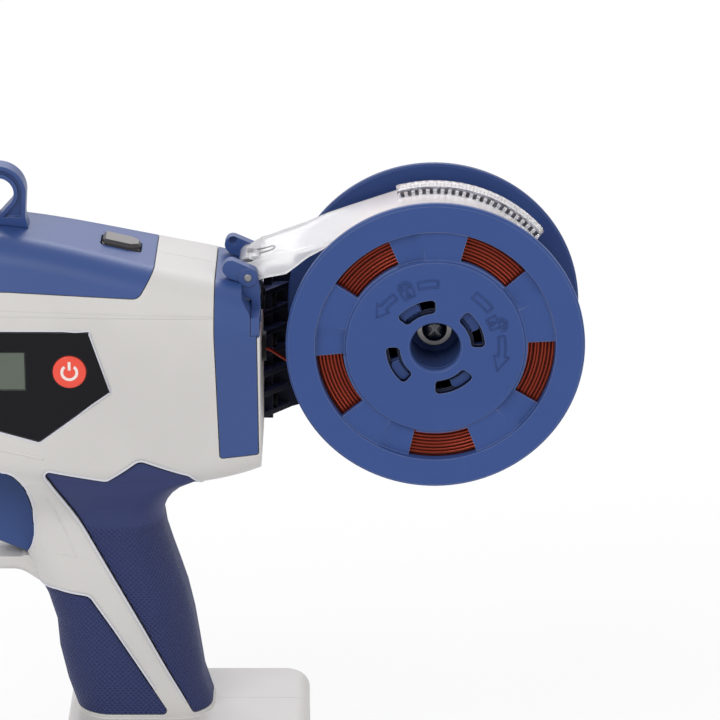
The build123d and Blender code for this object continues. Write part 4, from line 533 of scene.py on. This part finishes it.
# Painted shade: dark beads in the gaps round inlays, and the bracket screws in their pockets
SHADE_FINISH = surface("deep_shade", BLACK, 0.7, specular=0.05)
TOOL_STEEL_FINISH = surface("tool_steel", TOOL_STEEL, 0.34, metallic=1.0, depth=0.012, grain=900.0,
                            edge=0.35)


def dress_nodes():
    """Each node of the frame takes the finish that its record slot names."""
    for row in frame["record"]["subparts"]:
        node = NODES[row["node"]]
        node.data.materials.clear()
        node.data.materials.append(FINISH[row["material_slot"]])


# Making of pieces

def put(piece, body, material):
    """Piece with its material, riding its body."""
    piece.data.materials.clear()
    piece.data.materials.append(material)
    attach(piece, body)
    return piece


def new_object(name, data):
    """Object of a mesh, lamp or camera in the scene."""
    piece = bpy.data.objects.new(name, data)
    bpy.context.scene.collection.objects.link(piece)
    return piece


def work_mesh(mesh):
    """Copy of a mesh to work on."""
    bm = bmesh.new()
    bm.from_mesh(mesh)
    return bm


def write_back(bm, mesh):
    """Mesh with the work put into it."""
    bm.to_mesh(mesh)
    bm.free()
    return mesh


def mesh_of(bm, name):
    """New mesh with the work put into it."""
    return write_back(bm, bpy.data.meshes.new(name))


def ray_target(mesh):
    """Faces of a mesh, for casting rays at."""
    bm = work_mesh(mesh)
    target = BVHTree.FromBMesh(bm)
    bm.free()
    return target


def cut_across(bm, x):
    """Row of edges across a mesh, at one x in metres."""
    bmesh.ops.bisect_plane(bm, geom=bm.verts[:] + bm.edges[:] + bm.faces[:], dist=CUT_NEAR * MM,
                           plane_co=(x, 0, 0), plane_no=(1, 0, 0))


def smooth_by_angle(mesh):
    """Gentle edges shade smooth, the others stay crisp."""
    bm = work_mesh(mesh)
    limit = math.radians(SMOOTH_ANGLE)
    for face in bm.faces:
        face.smooth = True
    for edge in bm.edges:
        edge.smooth = len(edge.link_faces) == 2 and edge.calc_face_angle(0) < limit
    write_back(bm, mesh)


def moulded_copy(node, name, body, slot):
    """Copy of a node with its triangles joined and its gentle edges shaded smooth."""
    mesh = NODES[node].data.copy()
    bm = work_mesh(mesh)
    bmesh.ops.remove_doubles(bm, verts=bm.verts, dist=WELD * MM)
    write_back(bm, mesh)
    if "custom_normal" in mesh.attributes:
        mesh.attributes.remove(mesh.attributes["custom_normal"])
    smooth_by_angle(mesh)
    piece = put(new_object(name, mesh), body, FINISH[slot])
    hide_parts(node)
    return piece


def blue_notch(shell):
    """The notch that holds the yoke has the colour of the band round it."""
    shell.data.materials.append(FINISH["trim_blue"])
    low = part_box("hinge_yoke")[0]
    for face in shell.data.polygons:
        if face.center.x > low.x + NOTCH_IN * MM and face.center.z > low.z - NOTCH_DROP * MM:
            face.material_index = 1


def arm_drop(x):
    """How far the straight arm of the guard lies below the line of its plate."""
    spots = [(PIN_X + reach, drop) for reach, drop in ARM_DROPS] + [(SPOOL_X, 0.0)]
    for (x0, drop0), (x1, drop1) in zip(spots, spots[1:]):
        if x <= x1:
            share = max(0.0, (x - x0) / (x1 - x0))
            return drop0 + (drop1 - drop0) * share
    return 0.0


def comb_height(height):
    """Lower comb, with more of its height in the smooth crest above the grooves."""
    if height < GROOVE_HIGH:
        return height * GROOVE_LOWERED / GROOVE_HIGH
    crest = (height - GROOVE_HIGH) / (COMB_HEIGHT - GROOVE_HIGH)
    return GROOVE_LOWERED + crest * (COMB_LOWERED - GROOVE_LOWERED)


def settle_guard_point(point):
    """Comb points go back and in, points of the straight arm go down."""
    x, y, z = point.co / MM
    radius = math.hypot(x - SPOOL_X, z - SPOOL_Z)
    angle = math.degrees(math.atan2(z - SPOOL_Z, x - SPOOL_X))
    arc_x, _, arc_z = around(GUARD_R, GUARD_START, 0)
    under_plate = arc_z - (arc_x - x) * ARM_SLOPE - GUARD_PLATE - ARM_NEAR
    on_plate = angle < GUARD_START - COMB_ARC_NEAR and radius > GUARD_R - COMB_NEAR
    if on_plate and abs(y) < COMB_HALF + COMB_NEAR:
        at_end = angle > GUARD_START - COMB_END_ARC or angle < GUARD_END + COMB_END_ARC
        height = comb_height(max(0.0, radius - GUARD_R)) * (COMB_END if at_end else 1.0)
        y = COMB_MIDDLE + math.copysign(max(COMB_LEAST_HALF, abs(y) - COMB_NARROWED), y)
        x, y, z = around(GUARD_R + height, angle, y)
    elif x < arc_x and z > under_plate:
        if x < PIN_X + BARREL_PAST and math.hypot(x - PIN_X, z - PIN_Z) > BARREL_R + BARREL_NEAR:
            x += BARREL_CLEAR
            z += BARREL_CLEAR * ARM_SLOPE
        z += arm_drop(x)
    point.co = Vector((x, y, z)) * MM


def guard_zone(face):
    """Place of a face's finish: milky plate, clear comb and barrel, grooves between the teeth mottled dark
    grey as painted shade.
    """
    x, y, z = face.calc_center_median() / MM
    radius = math.hypot(x - SPOOL_X, z - SPOOL_Z)
    if radius > GUARD_R + FACE_NEAR and x > around(GUARD_R, GUARD_START, 0)[0]:
        in_groove = -COMB_HALF + FACE_NEAR < y < -COMB_HALF + COMB_GROOVE + FACE_NEAR
        below_crest = radius < GUARD_R + COMB_HEIGHT - GROOVE_BELOW
        return GROOVE_PLACE if in_groove and below_crest else COMB_PLACE
    on_barrel = math.hypot(x - PIN_X, z - PIN_Z) < BARREL_R + FACE_NEAR
    return COMB_PLACE if on_barrel else PLATE_PLACE


def coil_guard():
    """Milky plate with a clear comb on it, grooves of painted shade between its teeth, and a clear barrel
    round the hinge pin.
    """
    guard = moulded_copy("coil_guard", "guard_plate", "coil_guard", "guard_clear")
    guard.data.materials.append(COMB_FINISH)
    guard.data.materials.append(GROOVE_SHADE_FINISH)
    bm = work_mesh(guard.data)
    for face in bm.faces:
        face.material_index = guard_zone(face)
    for reach, _ in ARM_DROPS[1:]:
        cut_across(bm, (PIN_X + reach) * MM)
    for point in bm.verts:
        settle_guard_point(point)
    write_back(bm, guard.data)


def lock_flange():
    """Near flange, with the walls and ledges of its keyhole slots in painted shade."""
    flange = moulded_copy("lock_flange", "near_flange", "lock_flange", "spool_blue")
    flange.data.materials.append(SLOT_SHADE_FINISH)
    for face in flange.data.polygons:
        x, y, z = face.center / MM
        in_slot = SLOT_IN < math.hypot(x - SPOOL_X, z - SPOOL_Z) < SLOT_OUT
        if in_slot and y > FLANGE_FACE + SLOT_RIM:
            face.material_index = 1


def spool_core():
    """Drum and far flange, painted a darker blue than the near flange as painted shade; the heads of the
    lugs leave a dark gap on their inner side.
    """
    core = moulded_copy("spool_core", "drum_and_lugs", "spool", "spool_blue")
    # The core takes the darker copy of the spool's blue, a painted shade
    core.data.materials[0] = SHADED_CORE_FINISH
    for point in core.data.vertices:
        x, y, z = point.co / MM
        radius = math.hypot(x - SPOOL_X, z - SPOOL_Z)
        if y < FLANGE_FACE + LUG_DEPTH and radius < LUG_IN:
            angle = math.degrees(math.atan2(z - SPOOL_Z, x - SPOOL_X))
            point.co = Vector(around(LUG_CUT, angle, y)) * MM


def feed_button():
    """Dark button with a pale top and tapered ends."""
    button = moulded_copy("feed_button", "feed_button_cap", "feed_button", "button_grey")
    button.data.materials.append(BUTTON_TOP_FINISH)
    low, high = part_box("feed_button")
    middle = (low.x + high.x) / 2
    bm = work_mesh(button.data)
    for side in (-1, 1):
        cut_across(bm, middle + side * CAP_STRAIGHT * MM)
    for face in bm.faces:
        if face.normal.z > CAP_FACING and face.calc_center_median().z > CAP_LOW * MM:
            face.material_index = 1
    for point in bm.verts:
        in_cap = point.co.z > CAP_LOW * MM and abs(point.co.y) < CAP_HALF * MM
        if in_cap and abs(point.co.x - middle) > (CAP_STRAIGHT + CAP_NEAR) * MM:
            point.co.y *= CAP_TAPER
    write_back(bm, button.data)


def sharp_loops(bm):
    """Closed loops of sharp edges, each a list of its points in order."""
    limit = math.radians(SHARP_ANGLE)
    sharp = {edge: True for edge in bm.edges if edge.calc_face_angle(0) > limit}
    loops = []
    while sharp:
        edge = next(iter(sharp))
        del sharp[edge]
        loop = [edge.verts[0], edge.verts[1]]
        while True:
            ahead = [other for other in loop[-1].link_edges if other in sharp]
            if not ahead:
                break
            del sharp[ahead[0]]
            loop.append(ahead[0].other_vert(loop[-1]))
        loops.append(loop)
    return loops


def line_round(node, name, radius, aside, lift, finish, bottom=None):
    """Fine line of the housing that runs round an inlay, so far aside from its edge and above it."""
    bm = work_mesh(NODES[node].data)
    bmesh.ops.remove_doubles(bm, verts=bm.verts, dist=WELD * MM)
    loops = sharp_loops(bm)

    def reach(loop):
        return sum((b.co - a.co).length * abs(a.co.y) for a, b in zip(loop, loop[1:]))

    rim = max(loops, key=reach)
    others = {point for loop in loops if loop is not rim for point in loop}
    places = []
    for point in rim:
        walls = [face.normal for face in point.link_faces if others.intersection(face.verts)]
        tops = [face.normal for face in point.link_faces if not others.intersection(face.verts)]
        out = sum(walls, Vector()).normalized() * aside + sum(tops, Vector()).normalized() * lift
        places.append(tuple(point.co / MM + out))
    bm.free()
    if bottom is not None:
        first = next(i for i in range(len(places)) if places[i - 1][2] < bottom <= places[i][2])
        places = [place for place in places[first:] + places[:first] if place[2] >= bottom]
    put(new_object(name, wire_mesh(name, places, radius, LINE_ROUND)), "housing", finish)


def ridge_stations(ends):
    """Places along a ridge, a few millimetres apart, with its radius there."""
    stations = [ends[0]]
    for start, end in zip(ends, ends[1:]):
        steps = max(1, round(math.dist(start[:2], end[:2]) / RIDGE_STEP))
        for step in range(1, steps + 1):
            stations.append(tuple(a + (b - a) * step / steps for a, b in zip(start, end)))
    return stations


def side_ridges(node, side, name, ridges, finish):
    """Moulded ridges on one side of the housing, half sunk in its wall."""
    wall = ray_target(NODES[node].data)
    meshes = []
    for ends, proud in ridges:
        places = []
        widths = []
        for x, z, radius in ridge_stations(ends):
            hit = wall.ray_cast(Vector((x * MM, side, z * MM)), Vector((0, -side, 0)))[0]
            if hit:
                places.append((x, hit.y / MM - side * (radius - min(proud, radius)), z))
                widths.append(radius)
        meshes.append(wire_mesh("ridge", places, 1.0, RIDGE_ROUND, widths=widths))
    put(new_object(name, joined(name, meshes)), "housing", finish)


def opening_cutter(side):
    """Prism that takes the corner of the trigger's opening out of one cheek."""
    bm = bmesh.new()
    outline = [bm.verts.new((x * MM, side * CHEEK_IN * MM, z * MM)) for x, z in OPENING_CORNER]
    grown = bmesh.ops.extrude_face_region(bm, geom=[bm.faces.new(outline)])
    ends = [part for part in grown["geom"] if isinstance(part, bmesh.types.BMVert)]
    bmesh.ops.translate(bm, verts=ends, vec=(0, side * (CHEEK_OUT - CHEEK_IN) * MM, 0))
    bmesh.ops.recalc_face_normals(bm, faces=bm.faces)
    return new_object("opening", mesh_of(bm, "opening"))


def housing(node, name, side):
    """Half of the housing with ridges, and a rounder trigger opening, its lip painted light and its gap a
    painted shadow.
    """
    shell = carved(moulded_copy(node, name, "housing", "shell_grey"), opening_cutter(side))
    smooth_by_angle(shell.data)
    blue_notch(shell)
    corner = OPENING_CORNER[:CORNER_POINTS]
    lip = [(x + OPENING_LIP, z + OPENING_LIP, OPENING_LIP) for x, z in corner]
    lip += [(x, z, OPENING_LIP) for x, z in OPENING_SIDE]
    gap = [(x, z, OPENING_GAP) for x, z in corner]
    gap += [(x - OPENING_LIP, z, OPENING_GAP) for x, z in OPENING_SIDE]
    side_ridges(node, side, name + "_ridges", SIDE_RIDGES, FINISH["shell_grey"])
    side_ridges(node, side, name + "_lip", [(lip, OPENING_LIP_OUT)], LIP_HIGHLIGHT_FINISH)
    side_ridges(node, side, name + "_gap", [(gap, 0.0)], SHADE_FINISH)


def inlay_lines():
    """Lip round the panel; lip and dark gap round the grip pads, the lips painted light as a highlight and
    the gaps a painted shadow.
    """
    line_round("display_panel", "panel_lip", LIP_R, LIP_OUT, 0.0, LIP_HIGHLIGHT_FINISH)
    for node, name in (("grip_rear_pad", "rear_pad"), ("grip_front_pad", "front_pad")):
        line_round(node, name + "_lip", PAD_LIP_R, PAD_LIP_OUT, PAD_LIFT, LIP_HIGHLIGHT_FINISH, LIP_BOTTOM)
        line_round(node, name + "_gap", GAP_R, GAP_OUT, GAP_LIFT, SHADE_FINISH, LIP_BOTTOM)


def carved(piece, cutter):
    """Piece with the cutter's shape taken out of it."""
    cut = piece.modifiers.new("recess", "BOOLEAN")
    cut.operation = "DIFFERENCE"
    cut.solver = "EXACT"
    cut.use_self = True
    cut.object = cutter
    bpy.context.view_layer.update()
    mesh = bpy.data.meshes.new_from_object(piece.evaluated_get(bpy.context.evaluated_depsgraph_get()))
    piece.modifiers.remove(cut)
    piece.data = mesh
    bpy.data.objects.remove(cutter)
    return piece


def axle_screw():
    """Domed screw head with a crossed recess, and its shank."""
    low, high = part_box("axle_screw")
    radius = (high.x - low.x) / 2
    dome = radius * DOME_SHARE
    collar = dome + COLLAR_SHARE * radius
    turns = [math.pi / 2 * step / DOME_STEPS for step in range(DOME_STEPS + 1)]
    profile = [(radius * math.sin(turn), dome - dome * math.cos(turn)) for turn in turns]
    profile += [(radius, collar), (radius * SHANK_SHARE, collar), (radius * SHANK_SHARE, high.y - low.y)]
    profile.append((0.0, high.y - low.y))
    centre = Vector(((low.x + high.x) / 2, low.y, (low.z + high.z) / 2))
    bm = bmesh.new()
    line = [bm.verts.new(centre + Vector((r, y, 0))) for r, y in profile]
    edges = [bm.edges.new(pair) for pair in zip(line, line[1:])]
    bmesh.ops.spin(bm, geom=line + edges, cent=centre, axis=(0, 1, 0), angle=2 * math.pi, steps=HEAD_STEPS,
                   use_merge=True)
    bmesh.ops.remove_doubles(bm, verts=bm.verts, dist=WELD * MM)
    bmesh.ops.recalc_face_normals(bm, faces=bm.faces)
    head = mesh_of(bm, "axle_screw_head")
    bm = bmesh.new()
    for turn in CROSS_TURNS:
        arm = bmesh.ops.create_cube(bm, size=1.0)["verts"]
        bmesh.ops.scale(bm, verts=arm, vec=Vector((CROSS_REACH, 2 * CROSS_DEPTH, CROSS_WIDTH)) * MM)
        bmesh.ops.rotate(bm, verts=arm, cent=(0, 0, 0), matrix=Matrix.Rotation(math.radians(turn), 3, "Y"))
        bmesh.ops.translate(bm, verts=arm, vec=centre)
    cross = mesh_of(bm, "cross")
    screw = carved(new_object("axle_screw_head", head), new_object("cross", cross))
    smooth_by_angle(screw.data)
    put(screw, "housing", SCREW_FINISH)
    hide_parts("axle_screw")


def wire_mesh(name, places, radius, roundness, smooth=False, widths=None):
    """Round wire along places in millimetres, on one smooth curve or of changing width where asked."""
    curve = bpy.data.curves.new(name + "_line", "CURVE")
    curve.dimensions = "3D"
    curve.bevel_depth = radius * MM
    curve.bevel_resolution = roundness
    curve.use_fill_caps = True
    spline = curve.splines.new("NURBS" if smooth else "POLY")
    spline.points.add(len(places) - 1)
    for knot, place in zip(spline.points, places):
        knot.co = (place[0] * MM, place[1] * MM, place[2] * MM, 1.0)
    for knot, width in zip(spline.points, widths or []):
        knot.radius = width
    if smooth:
        spline.order_u = CURVE_ORDER
        spline.use_endpoint_u = True
        spline.resolution_u = CURVE_STEPS
    line = bpy.data.objects.new(name + "_line", curve)
    mesh = bpy.data.meshes.new_from_object(line)
    bpy.data.objects.remove(line)
    bpy.data.curves.remove(curve)
    for face in mesh.polygons:
        face.use_smooth = True
    mesh.name = name
    return mesh


def joined(name, meshes):
    """One mesh of several."""
    bm = bmesh.new()
    for mesh in meshes:
        bm.from_mesh(mesh)
    return mesh_of(bm, name)


# Winding

def around(radius, angle, y):
    """Place at this radius and angle round the spool's axis."""
    turn = math.radians(angle)
    return (SPOOL_X + radius * math.cos(turn), y, SPOOL_Z + radius * math.sin(turn))


def sway(step, rate, size):
    """Small uneven drift of hand-wound wire."""
    second = SECOND_SIZE * math.sin(step * rate * SECOND_RATE + SECOND_PHASE)
    return size * (math.sin(step * rate) + second) / (1 + SECOND_SIZE)


def outer_layer():
    """Turns on top of the winding, from one end to the other."""
    places = []
    pitch = (2 * WINDING_HALF - 2 * WIRE_R) / TURNS
    for step in range(TURNS * TURN_STEPS + 1):
        angle = LEAVE_ANGLE + 360 * step / TURN_STEPS
        y = WINDING_HALF - WIRE_R - pitch * step / TURN_STEPS + sway(step, *LAYER_DRIFT_Y)
        radius = WINDING_R - WIRE_R + sway(step, *LAYER_DRIFT_R) - LAYER_DRIFT_R[1]
        places.append(around(radius, angle, y))
    return wire_mesh("outer_layer", places, WIRE_R, STRAND_ROUND)


def end_strands(side):
    """The last turns of each layer, seen at the end of the winding."""
    places = []
    inner, outer = DRUM_R + END_FROM_DRUM, WINDING_R - END_FROM_TOP
    turns = round((outer - inner) / END_PITCH)
    for step in range(turns * TURN_STEPS + 1):
        angle = END_START + 360 * step / TURN_STEPS
        radius = inner + END_PITCH * step / TURN_STEPS + sway(step, *END_DRIFT_R)
        y = side * (WINDING_HALF - WIRE_R) + sway(step, *END_DRIFT_Y) - side * END_DRIFT_Y[1]
        places.append(around(radius, angle, y))
    return wire_mesh("end_strands", places, WIRE_R, STRAND_ROUND)


def winding_core():
    """Wire below the strands that show, a plain ring painted dark as the shade between them."""
    bm = bmesh.new()
    depth = WINDING_HALF - WIRE_R - RING_END
    inner, outer = DRUM_R + RING_ROOM, WINDING_R - WIRE_R - RING_ROOM
    corners = [(inner, -depth), (outer, -depth), (outer, depth), (inner, depth)]
    loop = [bm.verts.new(((SPOOL_X + r) * MM, y * MM, SPOOL_Z * MM)) for r, y in corners]
    edges = [bm.edges.new((loop[i], loop[(i + 1) % len(loop)])) for i in range(len(loop))]
    bmesh.ops.spin(bm, geom=loop + edges, cent=(SPOOL_X * MM, 0, SPOOL_Z * MM), axis=(0, 1, 0),
                   angle=2 * math.pi, steps=TURN_STEPS, use_merge=True)
    bmesh.ops.recalc_face_normals(bm, faces=bm.faces)
    return mesh_of(bm, "winding_core")


def wire_winding():
    """Strands that show, over a ring painted dark as the shade between them."""
    strands = joined("wire_winding", [outer_layer(), end_strands(-1), end_strands(1)])
    winding = put(new_object("wire_winding", strands), "spool", FINISH["wire_coat"])
    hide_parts("wire_coil", "wire_outer_layer")
    put(new_object("wire_winding_core", winding_core()), "spool", WINDING_SHADE)


# Tie wire and spring

def tie_wire():
    """Off the winding in a straight run to the inlet, then through the body."""
    lie = WINDING_R + TIE_WIRE_R + TIE_ROOM
    sweep = LEAVE_ANGLE - TIE_START_ANGLE
    turns = [TIE_START_ANGLE + sweep * step / TIE_STEPS for step in range(TIE_STEPS + 1)]
    places = [around(lie, angle, TIE_Y) for angle in turns] + TIE_WAY
    mesh = wire_mesh("tie_wire_run", places, TIE_WIRE_R, WIRE_ROUND, smooth=True)
    piece = put(new_object("tie_wire_run", mesh), "housing", FINISH["wire_coat"])
    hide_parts("tie_wire")


def guard_spring():
    """Turns round the hinge pin, one leg down the yoke's web and one under the guard."""
    y = SPRING_LOW.y / MM + SPRING_WIRE
    last_y = y + SPRING_PITCH * SPRING_TURNS
    side = PIN_X + SPRING_R
    places = [(side + WEB_LEG[0][0], y, SPRING_LOW.z / MM + SPRING_WIRE)]
    places += [(side + out, y, PIN_Z + up) for out, up in WEB_LEG]
    for step in range(SPRING_STEPS * SPRING_TURNS + 1):
        turn = 2 * math.pi * step / SPRING_STEPS
        places.append((PIN_X + SPRING_R * math.cos(turn), y + SPRING_PITCH * step / SPRING_STEPS,
                       PIN_Z + SPRING_R * math.sin(turn)))
    places += [(side + out, last_y, PIN_Z + up) for out, up in GUARD_LEG]
    mesh = wire_mesh("spring_wire", places, SPRING_WIRE, WIRE_ROUND, smooth=True)
    piece = put(new_object("spring_wire", mesh), "housing", FINISH["spring_dark"])
    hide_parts("guard_spring")


def spring_loop():
    """Far turns of the spring over the barrel, and the loop that presses on the guard."""
    turns = []
    for y in FAR_TURNS_Y:
        places = []
        for degrees in range(FAR_TURNS_START, FAR_TURNS_END + 1, FAR_TURNS_STEP):
            turn = math.radians(degrees)
            places.append((PIN_X + FAR_TURNS_R * math.cos(turn), y, PIN_Z + FAR_TURNS_R * math.sin(turn)))
        turns.append(wire_mesh("turn", places, FAR_TURN_WIRE, WIRE_ROUND))
    put(new_object("spring_far_turns", joined("turns", turns)), "coil_guard", PIN_FINISH)
    plate = ray_target(bpy.data.objects["guard_plate"].data)
    places = []
    for x, y in GUARD_LOOP:
        hit = plate.ray_cast(Vector((x * MM, y * MM, 1)), Vector((0, 0, -1)))[0]
        places.append((x, y, hit.z / MM if hit else PIN_Z + LOOP_START))
    mesh = wire_mesh("spring_loop", places, GUARD_LOOP_WIRE, WIRE_ROUND, smooth=True)
    put(new_object("spring_loop", mesh), "coil_guard", PIN_FINISH)


def spool_bracket():
    """Arm painted darker than its navy as the shade of its pockets, its ribs' upper faces painted lighter
    as lit.
    """
    bracket = moulded_copy("spool_bracket", "ribbed_arm", "housing", "bracket_dark")
    bracket.data.materials.append(RIB_LIT_FINISH)
    for face in bracket.data.polygons:
        if face.normal.z > RIB_LIT_FACING:
            face.material_index = 1


# Symbols

def arc_line(radius, start, end):
    """Places along an arc on the flange's face."""
    steps = max(2, round(abs(end - start) / ARC_STEP))
    return [around(radius, start + (end - start) * step / steps, FLANGE_FACE) for step in range(steps + 1)]


def bar_lines(start, end):
    """Outline of a bar along the ring."""
    line = arc_line(RELIEF_R - BAR_HALF, start, end) + arc_line(RELIEF_R + BAR_HALF, end, start)
    return [line + line[:1]]


def arrow_lines(start, end):
    """Arrow along the ring with its point at the end angle."""
    neck = start + (end - start) * ARROW_NECK
    line = arc_line(RELIEF_R - ARROW_HALF, start, neck)
    line.append(around(RELIEF_R - ARROW_HEAD, neck, FLANGE_FACE))
    line.append(around(RELIEF_R, end, FLANGE_FACE))
    line.append(around(RELIEF_R + ARROW_HEAD, neck, FLANGE_FACE))
    line += arc_line(RELIEF_R + ARROW_HALF, neck, start)
    return [line + line[:1]]


def padlock_lines(angle, opened):
    """Padlock seen upright along the radius; the shackle stands off when it is open."""
    def place(across, up):
        return around(RELIEF_R + up, angle - math.degrees(across / RELIEF_R), FLANGE_FACE)

    shift = BOW_ASIDE if opened else 0.0
    turns = [math.radians(degrees) for degrees in range(0, 181, BOW_STEP)]
    lines = [LOCK_BODY, LOCK_MARK]
    for size in BOW_SIZES:
        bow = [(shift + size * math.cos(turn), BOW_MIDDLE + size * math.sin(turn)) for turn in turns]
        foot = [(shift + size, BOW_FOOT)]
        lines.append(foot + bow + ([] if opened else [(shift - size, BOW_FOOT)]))
    return [[place(*point) for point in line] for line in lines]


def flange_relief():
    """Lock and unlock signs moulded on the flange as fine raised lines, painted darker than the flange as
    painted shade.
    """
    lines = []
    for (bar, padlock, arrow), opened in ((LOCKING, False), (UNLOCKING, True)):
        lines += bar_lines(*bar) + padlock_lines(padlock, opened) + arrow_lines(*arrow)
    meshes = [wire_mesh("relief_line", line, RELIEF_LINE, LINE_ROUND) for line in lines]
    put(new_object("flange_relief", joined("flange_relief", meshes)), "lock_flange",
        RELIEF_SHADED_FINISH)


def power_symbol():
    """Open ring with a stroke through its gap, printed on the power button."""
    face = POWER_LOW.y
    bm = bmesh.new()
    centre = Vector((POWER_X * MM, face, POWER_Z * MM))
    start = math.radians(POWER_GAP)
    line = [bm.verts.new(centre + Vector((math.sin(start), 0, math.cos(start))) * radius * MM)
            for radius in POWER_RING]
    bmesh.ops.spin(bm, geom=line + [bm.edges.new(line)], cent=centre, axis=(0, 1, 0), steps=POWER_STEPS,
                   angle=2 * math.pi - 2 * start)
    stroke = bmesh.ops.create_grid(bm, x_segments=1, y_segments=1, size=0.5)["verts"]
    width = POWER_RING[1] - POWER_RING[0]
    bmesh.ops.scale(bm, verts=stroke, vec=(width * MM, POWER_STROKE * MM, 1.0))
    bmesh.ops.rotate(bm, verts=stroke, cent=(0, 0, 0), matrix=Matrix.Rotation(math.pi / 2, 3, "X"))
    bmesh.ops.translate(bm, verts=stroke, vec=centre + Vector((0, 0, POWER_RING[1] * MM * POWER_STROKE_AT)))
    bmesh.ops.recalc_face_normals(bm, faces=bm.faces)
    bmesh.ops.solidify(bm, geom=bm.faces, thickness=POWER_PRINT * MM)
    bmesh.ops.recalc_face_normals(bm, faces=bm.faces)
    mesh = mesh_of(bm, "power_symbol")
    mesh.transform(Matrix.Translation((0, face - min(v.co.y for v in mesh.vertices) - POWER_PRINT * MM, 0)))
    put(new_object("power_symbol", mesh), "power_button", SYMBOL_FINISH)


# Stage

def seen_directly(tree):
    """One for rays from the camera, through clear plastic or off gloss, and nothing for the rest."""
    path = add(tree, "ShaderNodeLightPath")
    clear = add(tree, "ShaderNodeMath", operation="MAXIMUM")
    tree.links.new(path.outputs["Is Transmission Ray"], clear.inputs[0])
    tree.links.new(path.outputs["Is Glossy Ray"], clear.inputs[1])
    most = add(tree, "ShaderNodeMath", operation="MAXIMUM")
    tree.links.new(path.outputs["Is Camera Ray"], most.inputs[0])
    tree.links.new(clear.outputs[0], most.inputs[1])
    return most


def studio():
    """Pale world for the eye, with softer light on the object."""
    world = bpy.data.worlds.new("studio")
    bpy.context.scene.world = world
    world.use_nodes = True
    tree = world.node_tree
    light = tree.nodes["Background"]
    light.inputs["Color"].default_value = (*WHITE, 1)
    light.inputs["Strength"].default_value = WORLD_LIGHT
    mix_shaders(tree, seen_directly(tree), light, add(tree, "ShaderNodeBackground"), "World Output")


def floor():
    """Pale floor that glows where it is seen, so that the tool stands before white."""
    bm = bmesh.new()
    bmesh.ops.create_grid(bm, x_segments=1, y_segments=1, size=FLOOR_HALF)
    mesh = mesh_of(bm, "floor")
    piece = new_object("floor", mesh)
    material = bpy.data.materials.new("floor_white")
    material.use_nodes = True
    tree = material.node_tree
    shader = tree.nodes["Principled BSDF"]
    shader.inputs["Base Color"].default_value = (*FLOOR_WHITE, 1)
    shader.inputs["Roughness"].default_value = FLOOR_ROUGHNESS
    share = add(tree, "ShaderNodeMath", operation="MULTIPLY")
    share.inputs[1].default_value = FLOOR_GLOW
    tree.links.new(seen_directly(tree).outputs[0], share.inputs[0])
    mix_shaders(tree, share, shader, add(tree, "ShaderNodeEmission"), "Material Output")
    mesh.materials.append(material)


def softboxes():
    """Area lights round the tool, all aimed at one place."""
    for name, (place, size, power, colour) in SOFTBOXES.items():
        lamp = bpy.data.lights.new(name, "AREA")
        lamp.shape = "RECTANGLE"
        lamp.size, lamp.size_y = size
        lamp.energy = power
        lamp.color = colour
        piece = new_object(name, lamp)
        piece.location = place
        piece.rotation_euler = (Vector(LIGHT_TARGET) - Vector(place)).to_track_quat("-Z", "Y").to_euler()


def camera():
    """Camera of the photograph, with the spool's axis where the picture has it."""
    tilt = math.radians(VIEW_ELEVATION)
    ahead = Vector((0, math.cos(tilt), -math.sin(tilt)))
    up = Vector((0, math.sin(tilt), math.cos(tilt)))
    right = Vector((1, 0, 0))
    middle = PICTURE / 2
    aside = (SPOOL_IN_PICTURE[0] - middle) * VIEW_DISTANCE / FOCAL
    above = (middle - SPOOL_IN_PICTURE[1]) * VIEW_DISTANCE / FOCAL
    aim = Vector((SPOOL_X, 0, SPOOL_Z)) - right * aside - up * above
    lens = bpy.data.cameras.new("photo_camera")
    lens.sensor_width = SENSOR
    lens.lens = SENSOR * FOCAL / PICTURE
    piece = new_object("photo_camera", lens)
    piece.location = (aim - ahead * VIEW_DISTANCE) * MM
    piece.rotation_euler = (math.pi / 2 - tilt, 0, 0)
    bpy.context.scene.camera = piece


bpy.context.scene.view_settings.view_transform = "Standard"
dress_nodes()
housing("left_shell", "housing_left", -1)
housing("right_shell", "housing_right", 1)
moulded_copy("grip_rear_pad", "rear_grip", "housing", "grip_navy")
front_grip = moulded_copy("grip_front_pad", "front_grip", "housing", "grip_navy")
front_grip.data.materials[0] = FRONT_GRIP_FINISH
NODES["hinge_pin"].data.materials[0] = PIN_FINISH
# Bracket screws are black oxide, and are also given the near-black painted shade of the pockets round them
NODES["bracket_screws"].data.materials[0] = SHADE_FINISH
NODES["axle_washer"].data.materials[0] = WASHER_FINISH
for name in ("binding_hook", "lower_jaw"):
    NODES[name].data.materials[0] = TOOL_STEEL_FINISH
wire_winding()
tie_wire()
guard_spring()
coil_guard()
lock_flange()
spool_core()
feed_button()
spring_loop()
spool_bracket()
inlay_lines()
axle_screw()
flange_relief()
power_symbol()
studio()
floor()
softboxes()
camera()
